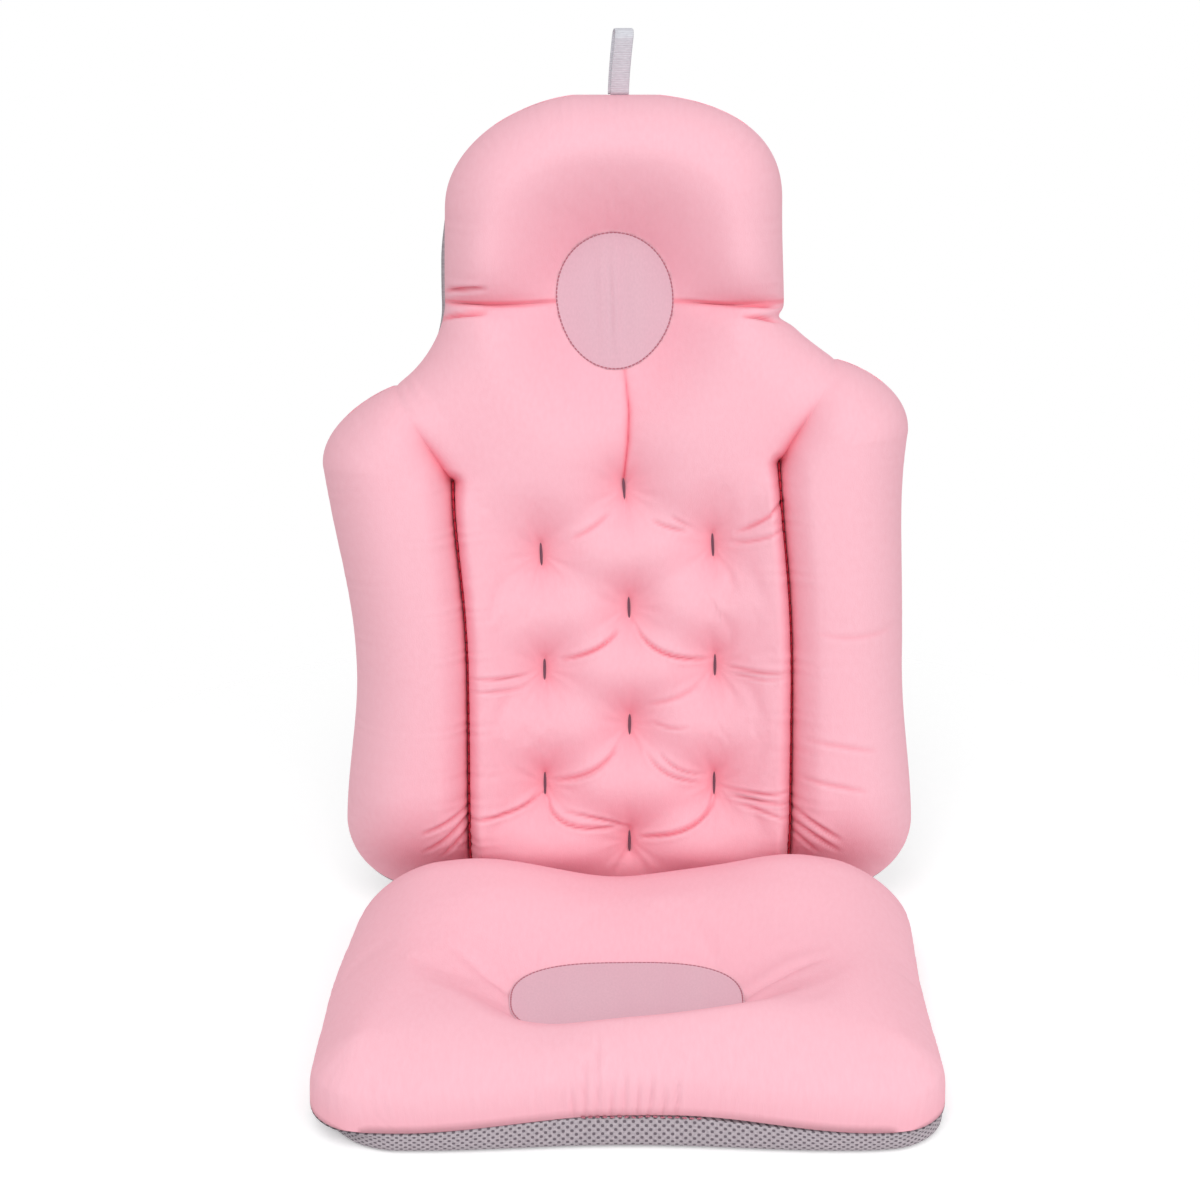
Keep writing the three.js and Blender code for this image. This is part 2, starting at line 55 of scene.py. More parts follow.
# Back and bolsters, along the back
BACK_FOOT = 2.8
SEAM = 97.0
SEAM_TOP = 272.0
SHOULDER_X = 131.0
SHOULDER = 329.5
NECK = 372.0
NECK_X = 101.0
BOLSTER_FOOT = 12.0
BOLSTER_TOP = 329.1
WAIST_X = 166.0
WAIST = 150.0
CHEST_X = 176.0
CHEST = 285.0
FLARE = 7.5
FLARE_LENGTH = 100.0
FOOT_CORNER = 44.0
BACK_CROWN = 40.0
BOLSTER_CROWN = 56.0
HEAD_CROWN = 50.0
EDGE_ROLL = 40.0
BACK_SEAM_ROLL = 9.0
BOLSTER_SEAM_ROLL = 17.0
BACK_FOOT_SLOPE = 54.0
BOLSTER_FOOT_SLOPE = 71.0
BOLSTER_FOOT_LIFT = 9.0
FOOT_LEFT = 0.72
SEAM_LEFT = 0.3
SEAM_GAP = 0.8
REAR_INSET = 1.4

# Bar tacks in three staggered columns
TACK_COLUMN = 51.5
TACK_LENGTH = 14.0
TACK_FOOT = 44.0
TACK_RISE = 36.0
TACKS = sorted(
    (x, TACK_FOOT + TACK_RISE * k)
    for k in range(7)
    for x in ((0.0,) if k % 2 == 0 else (-TACK_COLUMN, TACK_COLUMN))
)
QUILT_LINES = [
    [low, high]
    for low in TACKS
    for high in TACKS
    if low[0] == 0 and high[0] != 0 and abs(low[1] - high[1]) < TACK_RISE + 4
]

# Share of the height that each tack, quilting line and crease takes, and how far that reaches
TUFT_DEPTH = 0.38
TUFT_WIDTH = 26.0
PIT_DEPTH = 0.2
PIT_WIDTH = 5.0
QUILT_DEPTH = 0.13
QUILT_WIDTH = 13.0
SHOULDER_DEPTH = 0.38
NECK_DEPTH = 0.56
SIDE_CREASE_WIDTH = 9.0
CENTRE_DEPTH = 0.34
CENTRE_WIDTH = 10.0

# Nape patch and head
NAPE_X = 35.0
NAPE_V = 41.0
NAPE_WIDENING = 0.06
NAPE_HOLLOW = 56.0
HEAD_TIP = 494.0
HEAD_TOP = 492.8
HEAD_ROUND = 64.0
HEAD_POWER = 2.4

# Seat
SEAT_END = 125.0
SEAT_FRONT_X = 176.0
SEAT_REAR_X = 161.0
SEAT_DRAWN_IN = 1.5
SEAT_FRONT_CORNER = 34.0
SEAT_REAR_CORNER = 42.0
SEAT_FRONT_CROWN = 46.0
SEAT_REAR_CROWN = 58.0
SEAT_ROLL = 48.0
SEAT_REAR_SLOPE = 77.0
SEAT_SWELL = 6.0
SEAT_HOLLOW_LEFT = 0.52
SEAT_PATCH_X = 66.0
SEAT_PATCH_Y = 39.0
SEAT_PATCH_AT = -38.0
SEAT_PATCH_POWER = 2.6
PATCH_LIFT = 0.7
RIDGE_BLEND = 32.0

# Height of the seat's seam at the gathers, the drop to its corners, and its height at the sides and the fold
GATHERED_SEAM = 20.5
CORNER_DROP = 9.0
SIDE_SEAM_LEVEL = 12.0
FOLD_SEAM_LEVEL = 8.0

# How this pillow stands: sunk to one side, tilted, a corner drooping, the neck pinched, the seat askew
SLUMP = 10.0
BOLSTER_SLUMP = 4.5
TILT = 0.06
DROOP = 9.0
PINCH = 5.0
ASKEW = 6.0
SCALLOP = 4.0

# Hanging loop
LOOP_HEIGHT = 38.6
LOOP_RADIUS = 4.6
LOOP_ROOT = 0.6
RIBBON_HALF = 5.5
RIBBON_THICK = 0.45

# Length, radius and gap of each kind of stitch
SIDE_STITCH = (6.0, 0.65, 0.1)
NECK_STITCH = (3.2, 0.6, 1.0)
EDGE_STITCH = (2.2, 0.4, 0.2)
GATHER_STITCH = (2.6, 0.5, 1.2)
TACK_STITCH = (TACK_LENGTH, 0.75, 0.0)


# Profiles


def ease(value, low, high):
    """Smooth step from 0 at low to 1 at high."""
    t = np.clip((value - low) / (high - low), 0, 1)
    return t * t * (3 - 2 * t)


def roll(distance, reach):
    """Quarter ellipse: upright at a sewn edge, level once it is reach away."""
    return np.sqrt(1 - (1 - np.clip(distance / reach, 0, 1)) ** 2)


def slope(distance, reach):
    """Quarter sine: slanted at a fold, level once it is reach away."""
    return np.sin(np.clip(distance / reach, 0, 1) * np.pi / 2)


def corner(from_end, radius):
    """How far a round corner draws an outline in."""
    return radius - np.sqrt(radius**2 - np.clip(radius - from_end, 0, radius) ** 2)


def bell(value, middle, width):
    """1 at the middle, dying smoothly away on both sides."""
    return np.exp(-(((value - middle) / width) ** 2))


def fading(distance, reach):
    """1 on a line, dying away from it at once."""
    return np.exp(-distance / reach)


def trace(x, v, line):
    """Distance from each place to a line of straight runs, and the share of the line passed there."""
    line = np.asarray(line, float)
    lengths = np.hypot(*np.diff(line, axis=0).T)
    before = np.concatenate([[0], np.cumsum(lengths)])
    nearest = np.full(np.broadcast(x, v).shape, np.inf)
    share = np.zeros_like(nearest)
    for (x0, v0), (x1, v1), length, start in zip(line[:-1], line[1:], lengths, before):
        along = ((x - x0) * (x1 - x0) + (v - v0) * (v1 - v0)) / length**2
        along = np.clip(along, 0, 1)
        distance = np.hypot(x - x0 - along * (x1 - x0), v - v0 - along * (v1 - v0))
        closer = distance < nearest
        nearest = np.where(closer, distance, nearest)
        share = np.where(closer, (start + along * length) / before[-1], share)
    return nearest, share


def away(x, v, line):
    """Distance from each place to a line of straight runs."""
    return trace(x, v, line)[0]


def waver(place, spacing, seed):
    """An uneven wave between about -1 and 1."""
    turn = 2 * np.pi * place / spacing
    swing = 0.6 + 0.4 * np.sin(0.23 * turn + 2.1 * seed)
    return np.sin(turn + 1.9 * np.sin(0.37 * turn + seed)) * swing


# Outlines


def seam_line(v):
    """Side seam and, above it, the slanting shoulder crease."""
    return np.interp(v, [SEAM_TOP, SHOULDER], [SEAM, SHOULDER_X])


def panel_half(v):
    """Half the width of back and head: up the seam, over the shoulder, in to the neck and round the head."""
    over = np.clip((v - SHOULDER) / (NECK - SHOULDER), 0, 1)
    shoulder = NECK_X + (SHOULDER_X - NECK_X) * (1 - over) ** 2
    up = np.clip((v - HEAD_TIP + HEAD_ROUND) / HEAD_ROUND, 0, 1)
    side = NECK_X - ease(v, NECK, HEAD_TIP - HEAD_ROUND)
    head = side * (1 - up**HEAD_POWER) ** (1 / HEAD_POWER)
    return np.where(v < SHOULDER, seam_line(v), np.where(v < NECK, shoulder, head))


def bolster_outer(v):
    """Outer edge of a bolster: a waist, a flared foot with a round corner and a curve over the shoulder."""
    belly = (CHEST_X - WAIST_X) * np.clip((v - WAIST) / (CHEST - WAIST), 0, 1) ** 2
    flare = FLARE * (1 - ease(v, WAIST - FLARE_LENGTH, WAIST))
    side = WAIST_X + belly + flare - corner(v - BOLSTER_FOOT, FOOT_CORNER)
    over = np.clip((v - CHEST) / (SHOULDER - CHEST), 0, 1)
    return np.where(v < CHEST, side, SHOULDER_X + (CHEST_X - SHOULDER_X) * (1 - over**2) ** 0.8)


def outline_points():
    """Right half of the upright's outline, from the bolster's foot to the middle of the head's top."""
    head_turn = HEAD_TIP - HEAD_ROUND
    low = BOLSTER_FOOT + FOOT_CORNER * (1 - np.cos(np.linspace(0, np.pi / 2, 9)))
    over = CHEST + (SHOULDER - CHEST) * np.sin(np.linspace(0.15, np.pi / 2, 12))
    sides = np.concatenate([low, np.linspace(low[-1] + 14, CHEST, 12), over])
    crest = head_turn + (HEAD_TOP - head_turn) * np.sin(np.linspace(0.1, np.pi / 2, 14))
    upper = np.concatenate([np.linspace(SHOULDER + 3, head_turn, 22), crest])
    points = [(SEAM, BOLSTER_FOOT)]
    points += list(zip(bolster_outer(sides), sides))
    points += list(zip(panel_half(upper), upper))
    return points + [(0.0, HEAD_TOP)]


OUTLINE = outline_points()
SIDE_SEAM = [(SEAM, 0.0), (SEAM, SEAM_TOP)]
SHOULDER_CREASE = [(SEAM, SEAM_TOP), (SHOULDER_X, SHOULDER)]
NECK_SEAM = [(NAPE_X, NECK), (NECK_X, NECK)]
CENTRE_CREASE = [(0.3, 267.0), (3.9, 290.0), (5.5, 308.0), (4.2, 331.0)]


def seat_side(y):
    """Half the seat's width before its corners are rounded: a taper with drawn-in sides."""
    taper = np.interp(y, [-SEAT_END, SEAT_END], [SEAT_FRONT_X, SEAT_REAR_X])
    return taper - SEAT_DRAWN_IN * (1 - (y / SEAT_END) ** 2)


def seat_half(y):
    """Half the seat's width with its round corners."""
    return seat_side(y) - corner(y + SEAT_END, SEAT_FRONT_CORNER) - corner(SEAT_END - y, SEAT_REAR_CORNER)


def seat_outline_points():
    """Right half of the seat's outline, from the middle of its front to the middle of its rear."""
    front = -SEAT_END + SEAT_FRONT_CORNER * (1 - np.cos(np.linspace(0, np.pi / 2, 16)))
    rear = SEAT_END - SEAT_REAR_CORNER * (1 - np.cos(np.linspace(np.pi / 2, 0, 10)))
    sides = np.concatenate([front, np.linspace(front[-1] + 11, rear[0] - 8, 9), rear])
    return [(0.0, -SEAT_END)] + list(zip(seat_half(sides), sides)) + [(0.0, SEAT_END)]


SEAT_OUTLINE = seat_outline_points()


def seat_seam(x, y):
    """Height of the seam between jersey and mesh: gathered up at the front, low at corners and fold."""
    front = GATHERED_SEAM - CORNER_DROP * ease(np.abs(x - 5), 20, 130)
    level = SIDE_SEAM_LEVEL + (front - SIDE_SEAM_LEVEL) * (1 - ease(y, -110, -40))
    return level + (FOLD_SEAM_LEVEL - level) * slope(y - 65, 60)


# Places


def places(x, y, z):
    """Places in millimetres as points in metres."""
    return np.stack(np.broadcast_arrays(x, y, z), -1) * MM


def laid_flat(x, v):
    """Places on the cloth laid flat, as UV in metres."""
    return np.stack(np.broadcast_arrays(x, v), -1) * MM


def leaning(x, along, out):
    """Places across, along and out of the leaning back as points."""
    y = FOLD_Y + along * math.sin(LEAN) - out * math.cos(LEAN)
    z = FOLD_Z + along * math.cos(LEAN) + out * math.sin(LEAN)
    return places(x, y, z)


def slump(x, v):
    """How far the back has sunk to one side, the bolsters a little more."""
    return -SLUMP * ease(v, 150, 420) - BOLSTER_SLUMP * bell(v, 262, 62) * ease(np.abs(x), 55, 100)


def upright(x, v, w):
    """Places on the upright as points: sunk, tilted, its left corner drooping and its neck pinched."""
    tilt = TILT * ease(v, 60, 260) * (1 - ease(v, 335, NECK))
    droop = DROOP * ease(v, 425, 485) * ease(-x, 0, 70)
    pinch = -PINCH * bell(v, NECK - 11, 5) * ease(x, 60, 100)
    return leaning(x + slump(x, v) + droop + pinch, v + tilt * x, w)


def seat_place(x, y, z):
    """Places on the seat as points: a little askew, the front scalloped from the gathers to the corners."""
    askew = ASKEW * (ease(y, -30, 80) - 0.5)
    forward = SCALLOP * np.sin(np.pi * x / 220) ** 2 * (1 - ease(y, -SEAT_END, -60))
    return places(x + askew, y - forward, z)


def overhang(x, y):
    """The seat's top swollen out over its seam, most a little way in from the edge."""
    edge = away(np.abs(x), y, SEAT_OUTLINE)
    swell = SEAT_SWELL * np.clip(edge / 6, 0, 1) * fading(edge, 20) * (1 - ease(y, 40, 100))
    across = x / SEAT_FRONT_X
    along = y / SEAT_END
    size = np.hypot(across, along) + 1e-9
    return x + swell * across / size, y + swell * along / size


# Heights


def nape_ring(x, v):
    """1 on the nape patch's edge; the oval is a little wider above."""
    rise = (v - NECK) / NAPE_V
    return np.hypot(x / (NAPE_X * (1 + NAPE_WIDENING * rise)), rise)


def tack_distance(x, v, tack):
    """Distance from each place to an upright bar tack."""
    return np.hypot(x - tack[0], np.maximum(0, np.abs(v - tack[1]) - TACK_LENGTH / 2))


def tufted(x, v):
    """Share of the height that the tacks leave: a pit at each and a shallow valley from tack to tack."""
    left = 1.0
    for tack in TACKS:
        pit = tack_distance(x, v, tack)
        left = left * (1 - TUFT_DEPTH * bell(pit, 0, TUFT_WIDTH) - PIT_DEPTH * fading(pit, PIT_WIDTH))
    for line in QUILT_LINES:
        left = left * (1 - QUILT_DEPTH * bell(away(x, v, line), 0, QUILT_WIDTH))
    return left


def upright_creased(x, v):
    """Share of the height that the shoulder, neck and centre creases leave."""
    side = np.abs(x)
    shoulder = SHOULDER_DEPTH * fading(away(side, v, SHOULDER_CREASE), SIDE_CREASE_WIDTH)
    shoulder = shoulder * (1 - ease(v, SEAM_TOP, SHOULDER))
    neck = NECK_DEPTH * fading(away(side, v, NECK_SEAM), SIDE_CREASE_WIDTH)
    centre = CENTRE_DEPTH * fading(away(x, v, CENTRE_CREASE), CENTRE_WIDTH)
    return (1 - shoulder) * (1 - neck) * (1 - centre)


def upright_height(x, v):
    """Stuffed front of back, head and bolsters: a crown that every edge, seam, tack and crease pulls down."""
    side = np.abs(x)
    beyond = (side - seam_line(v)) * 0.87
    crown = BACK_CROWN + (BOLSTER_CROWN - BACK_CROWN) * ease(beyond, -20, 20)
    crown = crown + (HEAD_CROWN - BACK_CROWN) * ease(v, NECK - 30, NECK + 30)
    seam_roll = BACK_SEAM_ROLL + (BOLSTER_SEAM_ROLL - BACK_SEAM_ROLL) * ease(beyond, -1, 1)
    seam = roll(away(side, v, SIDE_SEAM), seam_roll)
    edge = np.maximum(0, away(side, v, OUTLINE) - 0.4)
    bolster = ease(beyond, -8, 8)
    foot_slope = BACK_FOOT_SLOPE + (BOLSTER_FOOT_SLOPE - BACK_FOOT_SLOPE) * bolster
    foot = slope(v - BACK_FOOT - BOLSTER_FOOT_LIFT * bolster, foot_slope)
    foot = foot * (FOOT_LEFT + (1 - FOOT_LEFT) * ease(v, 8, 40))
    height = crown * roll(edge, EDGE_ROLL) * (SEAM_LEFT + (1 - SEAM_LEFT) * seam) * foot
    height = height * upright_creased(x, v) * tufted(x, v)
    hollow = np.maximum(0, nape_ring(x, v) - 1) * (NAPE_X + NAPE_V) / 2
    flat = 2.5 * roll(edge, EDGE_ROLL / 2)
    return flat + (height - flat) * slope(hollow, NAPE_HOLLOW)


def squared_ring(across, up):
    """1 on an oval with flattened sides and ends."""
    return (np.abs(across) ** SEAT_PATCH_POWER + np.abs(up) ** SEAT_PATCH_POWER) ** (1 / SEAT_PATCH_POWER)


def seat_ring(x, y):
    """1 on the seat patch's edge."""
    return squared_ring(x / SEAT_PATCH_X, (y - SEAT_PATCH_AT) / SEAT_PATCH_Y)


def seat_edge(x, y):
    """Distance in from the seat's outline, less where front and side are as near, so that no ridge shows."""
    edge = np.maximum(0, away(np.abs(x), y, SEAT_OUTLINE) - 0.2)
    apart = np.abs((y + SEAT_END) - (seat_side(y) - np.abs(x)))
    ridge = np.maximum(0, 1 - apart / RIDGE_BLEND) ** 2
    return edge - RIDGE_BLEND / 4 * ridge * ease(edge, 24, 46)


def seat_height(x, y):
    """Stuffed top of the seat above the floor: a full crown, rear humps, and a hollow round the patch."""
    crown = np.interp(y, [-SEAT_END, SEAT_END], [SEAT_FRONT_CROWN, SEAT_REAR_CROWN])
    humps = (9.5 + 1.5 * np.sign(x)) * bell(np.abs(x), 92, 40) - 6 * bell(x, -12, 34)
    crown = crown + ease(y, -20, 60) * humps
    crown = crown * roll(seat_edge(x, y), SEAT_ROLL) * slope(SEAT_END - y, SEAT_REAR_SLOPE)
    front_roll = 5 * bell(x, 62, 46) - 6 * bell(x, -48, 34)
    crown = crown + front_roll * bell(y, -88, 26)
    hollow = np.maximum(0, seat_ring(x, y) - 1) * (SEAT_PATCH_X + SEAT_PATCH_Y) / 2
    reach = 58 - 30 * ease(SEAT_PATCH_AT - y, -10, 36)
    return seat_seam(x, y) + 1.5 + crown * (SEAT_HOLLOW_LEFT + (1 - SEAT_HOLLOW_LEFT) * slope(hollow, reach))


# Grids


def even_ends(count):
    """Shares from 0 to 1 that crowd towards both ends."""
    t = np.linspace(0, 1, count + 1)
    return 0.45 * t + 0.55 * (1 - np.cos(np.pi * t)) / 2


def tacked_columns(count):
    """Shares from 0 to 1 that crowd towards both edges, the middle and the outer tack columns."""
    k = np.linspace(-1, 1, count + 1)
    k = k - 0.45 * np.sin(4 * np.pi * k) / (4 * np.pi)
    return (1 + k + (TACK_COLUMN / SEAM - 0.5) * np.sin(np.pi * k)) / 2


def plan(rows, shares, left, right):
    """Places of a grid whose rows run from a left edge to a right one."""
    x = left(rows)[:, None] + (right(rows) - left(rows))[:, None] * shares
    return x, np.repeat(rows[:, None], len(shares), 1)


def refine(grid, axis):
    """Twice as many rows or columns, by a cubic through the neighbours."""
    a = np.moveaxis(grid, axis, 0)
    ends = np.concatenate([2 * a[:1] - a[1:2], a, 2 * a[-1:] - a[-2:-1]])
    fine = np.empty((2 * len(a) - 1,) + a.shape[1:])
    fine[0::2] = a
    fine[1::2] = (9 * (ends[1:-2] + ends[2:-1]) - ends[:-3] - ends[3:]) / 16
    return np.moveaxis(fine, 0, axis)


def refined(grid):
    """A grid with twice the rows and twice the columns."""
    return refine(refine(grid, 0), 1)


def normals(points):
    """Unit normals of a grid of points, out of its front."""
    out = np.cross(np.gradient(points, axis=1), np.gradient(points, axis=0))
    return out / np.maximum(np.linalg.norm(out, axis=-1, keepdims=True), 1e-12)


# Meshes


def mesh_object(name, points, faces, uv):
    """A smooth mesh at the origin, with the cloth's UV at each corner."""
    mesh = bpy.data.meshes.new(name)
    mesh.from_pydata(points.reshape(-1, 3).tolist(), [], faces)
    corners = np.empty(len(mesh.loops), np.int32)
    mesh.loops.foreach_get("vertex_index", corners)
    layer = mesh.uv_layers.new(name="cloth")
    layer.data.foreach_set("uv", uv.reshape(-1, 2)[corners].astype(np.float32).ravel())
    mesh.polygons.foreach_set("use_smooth", np.ones(len(mesh.polygons), bool))
    obj = bpy.data.objects.new(name, mesh)
    bpy.context.scene.collection.objects.link(obj)
    return obj


def note(obj, name, values):
    """Keeps one number for each vertex, for the materials."""
    attribute = obj.data.attributes.new(name, "FLOAT", "POINT")
    attribute.data.foreach_set("value", values.astype(np.float32).ravel())


def grid_faces(rows, columns):
    """Number of each point of a grid, and the faces between them."""
    index = np.arange(rows * columns).reshape(rows, columns)
    quads = np.stack([index[:-1, :-1], index[:-1, 1:], index[1:, 1:], index[1:, :-1]], -1)
    return index, quads.reshape(-1, 4).tolist()


def tube_faces(rows, columns):
    """Faces of a grid that closes on itself sideways, then a lid on its first row and one on its last."""
    index = np.arange(rows * columns).reshape(rows, columns)
    after = np.roll(index, -1, 1)
    sides = np.stack([index[:-1], index[1:], after[1:], after[:-1]], -1)
    return sides.reshape(-1, 4).tolist() + [index[0].tolist(), index[-1, ::-1].tolist()]


def rim_of(grid):
    """A grid's first row, both ends of each row between, and its last row."""
    ends = grid[1:-1, [0, -1]]
    return np.concatenate([grid[0], ends.reshape((-1,) + grid.shape[2:]), grid[-1]])


def closed_panel(name, front, behind, uv, fold, facing=None):
    """A closed mesh: the front grid, a strip from its rim to behind's rim, and a lid of one face a row."""
    rows, columns = front.shape[:2]
    index, faces = grid_faces(rows, columns)
    first = rows * columns + np.arange(columns)
    middle = first[-1] + 1 + np.arange(2 * (rows - 2)).reshape(-1, 2)
    last = middle[-1, -1] + 1 + np.arange(columns)
    left = np.concatenate([first[:1], middle[:, 0], last[:1]])
    right = np.concatenate([first[-1:], middle[:, 1], last[-1:]])
    faces += np.stack([left[:-1], index[:-1, 0], index[1:, 0], left[1:]], -1).tolist()
    faces += np.stack([right[:-1], right[1:], index[1:, -1], index[:-1, -1]], -1).tolist()
    faces += np.stack([first[:-1], first[1:], index[0, 1:], index[0, :-1]], -1).tolist()
    faces += np.stack([last[1:], last[:-1], index[-1, :-1], index[-1, 1:]], -1).tolist()
    faces += np.stack([left[1:-2], left[2:-1], right[2:-1], right[1:-2]], -1).tolist()
    faces.append([left[1], right[1]] + first[::-1].tolist())
    faces.append([right[-2], left[-2]] + last.tolist())
    points = np.concatenate([front.reshape(-1, 3), rim_of(behind)])
    obj = mesh_object(name, points, faces, np.concatenate([uv.reshape(-1, 2), rim_of(uv)]))
    # The fold values are painted crease shade on the jersey pieces and the closed-up hem on the mesh pieces.
    note(obj, "fold", np.concatenate([fold.ravel(), rim_of(fold)]))
    if facing is not None:
        inward = np.repeat(-facing.mean((0, 1))[None], len(points) - rows * columns, 0)
        every = np.concatenate([facing.reshape(-1, 3), inward])
        obj.data.normals_split_custom_set_from_vertices(every.tolist())
    return obj


# Cloth

SETTLE_FRAMES = 20
MOST_SETTLING = 7 * MM
STUFFING_PRESSURE = 4


def hang_cloth(panel):
    """A trial mesh of a panel with its cloth settings, held where it is sewn."""
    index, faces = grid_faces(*panel["front"].shape[:2])
    faces = np.array(faces)[panel["cloth"].ravel()].tolist()
    trial = mesh_object("trial", panel["front"], faces, panel["front"][..., :2])
    sewn = trial.vertex_groups.new(name="sewn")
    sewn.add(index[panel["sewn"]].tolist(), 1.0, "REPLACE")
    cloth = trial.modifiers.new("jersey", "CLOTH")
    cloth.settings.quality = 6
    cloth.settings.mass = 0.2
    cloth.settings.tension_stiffness = 15
    cloth.settings.compression_stiffness = 4
    cloth.settings.shear_stiffness = 4
    cloth.settings.bending_stiffness = 1.5
    cloth.settings.use_pressure = True
    cloth.settings.uniform_pressure_force = STUFFING_PRESSURE
    cloth.settings.shrink_min = 0.0
    cloth.settings.vertex_group_mass = "sewn"
    cloth.settings.effector_weights.gravity = 0
    cloth.collision_settings.use_collision = False
    cloth.point_cache.frame_end = SETTLE_FRAMES
    return trial


def settle(panels):
    """Lets each jersey front fill out under the pressure of its stuffing, no place further than the most."""
    trials = [hang_cloth(panel) for panel in panels]
    for step in range(1, SETTLE_FRAMES + 1):
        bpy.context.scene.frame_set(step)
    ready = bpy.context.evaluated_depsgraph_get()
    for panel, trial in zip(panels, trials):
        settled = np.empty(panel["front"].size, np.float32)
        trial.evaluated_get(ready).data.vertices.foreach_get("co", settled)
        moved = settled.reshape(panel["front"].shape) - panel["front"]
        length = np.linalg.norm(moved, axis=-1, keepdims=True)
        held = np.minimum(1, MOST_SETTLING / np.maximum(length, 1e-9))
        panel["front"] = panel["front"] + moved * held * panel["slack"][..., None]
    for trial in trials:
        bpy.data.objects.remove(trial)
    bpy.context.scene.frame_set(1)


# Creases and wrinkles

# Creases of the quilted back: start, a place on the way, end, depth and width
BACK_CREASES = [
    ((-6, 177), (-19, 167), (-41, 159), 2.4, 2.0),
    ((4, 177), (20, 163), (48, 156), 2.6, 2.0),
    ((-7, 104), (-23, 91), (-47, 82), 2.4, 2.0),
    ((-11, 97), (-24, 88), (-42, 81), 1.3, 1.6),
    ((10, 101), (23, 89), (45, 81), 1.7, 1.8),
    ((18, 101), (30, 91), (46, 86), 1.4, 1.6),
    ((14, 119), (24, 117), (35, 118), 1.0, 1.8),
    ((-50, 71), (-38, 58), (-7, 54), 2.4, 1.9),
    ((-41, 65), (-18, 60), (0, 53), 1.7, 1.7),
    ((51, 72), (38, 57), (6, 47), 2.6, 1.9),
    ((-52, 74), (-73, 66), (-96, 63), 2.2, 1.9),
    ((54, 78), (74, 78), (96, 80), 1.9, 1.7),
    ((57, 75), (77, 74), (97, 73), 2.0, 1.6),
    ((64, 70), (79, 68), (96, 63), 1.4, 1.8),
    ((-60, 150), (-78, 151), (-94, 152), 1.6, 1.8),
    ((-62, 143), (-78, 143), (-94, 144), 1.2, 1.8),
    ((58, 152), (76, 151), (94, 151), 1.7, 1.7),
    ((60, 149), (77, 147), (94, 148), 1.2, 1.6),
    ((66, 233), (83, 240), (98, 250), 1.8, 2.2),
    ((63, 226), (81, 229), (97, 234), 1.3, 2.0),
    ((-8, 249), (-19, 241), (-33, 234), 1.3, 2.2),
    ((15, 243), (25, 238), (37, 234), 1.4, 2.0),
    ((27, 244), (33, 240), (39, 236), 1.0, 1.8),
    ((11, 130), (31, 136), (45, 144), 1.0, 2.4),
]

# Folds in and beside the neck crease
NECK_CREASES = [
    ((-36, 371), (-68, 371), (-101, 372), 3.0, 1.4),
    ((37, 372), (68, 371), (101, 369), 3.0, 1.4),
    ((-101, 378), (-91, 380), (-76, 381), 2.8, 2.2),
    ((-104, 361), (-95, 365), (-76, 367), 2.8, 2.2),
    ((76, 365), (89, 363), (100, 359), 2.6, 2.2),
]

# Drag lines on the bolsters
BOLSTER_CREASES = [
    ((-97, 70), (-108, 64), (-124, 56), 1.8, 2.2),
    ((-97, 65), (-108, 54), (-124, 42), 2.0, 2.2),
    ((-97, 57), (-103, 49), (-114, 38), 1.6, 2.0),
    ((98, 69), (109, 64), (126, 52), 1.9, 2.2),
    ((98, 61), (110, 55), (126, 43), 1.9, 2.2),
    ((98, 54), (104, 50), (114, 42), 1.4, 2.0),
    ((102, 90), (114, 89), (140, 84), 1.0, 2.4),
    ((105, 113), (118, 112), (146, 107), 0.8, 2.6),
    ((110, 176), (132, 173), (156, 175), 0.5, 3.0),
]
UPRIGHT_CREASES = BACK_CREASES + NECK_CREASES + BOLSTER_CREASES

# Drag lines beside the seat's patch and the gathers in the middle of its front
SEAT_PULLS = [
    ((62, -38), (84, -30), (112, -27), 1.9, 5.5),
    ((-62, -34), (-82, -22), (-96, -14), 1.3, 6.0),
]
SEAT_GATHERS = [
    ((-31 + 7 * k, -130), (-30 + 7 * k, -128 + length / 2), (-30 + 7 * k, -125 + length), 1.3, 1.8)
    for k, length in enumerate((5, 13, 22, 6, 9, 5, 8, 4, 6))
]


def bow(start, through, end):
    """Places along a curve from start to end that is half way at the middle place."""
    start, through, end = np.array([start, through, end], float)
    t = np.linspace(0, 1, 9)[:, None]
    bend = 2 * through - (start + end) / 2
    return (1 - t) ** 2 * start + 2 * t * (1 - t) * bend + t**2 * end


def creased(x, v, creases):
    """Narrow valleys with a soft lip on each side, fading at their ends; heights in millimetres."""
    total = np.zeros(np.broadcast(x, v).shape)
    for start, through, end, depth, width in creases:
        distance, share = trace(x, v, bow(start, through, end))
        width = 0.56 * width
        ends = np.sin(np.pi * np.clip(share, 0.02, 0.98)) ** 0.5
        valley = bell(distance, 0, width)
        lip = bell(distance, 2.4 * width, 1.3 * width)
        total += depth * ends * (0.3 * lip - valley)
    return total


def puckers(x, v, line, spacing, reach, seed):
    """Small gathers square to a seam, dying away from it."""
    distance, share = trace(x, v, line)
    length = np.hypot(*np.diff(np.asarray(line, float), axis=0).T).sum()
    return waver(share * length, spacing, seed) * fading(distance, reach) * (1 - fading(distance, 1.5))


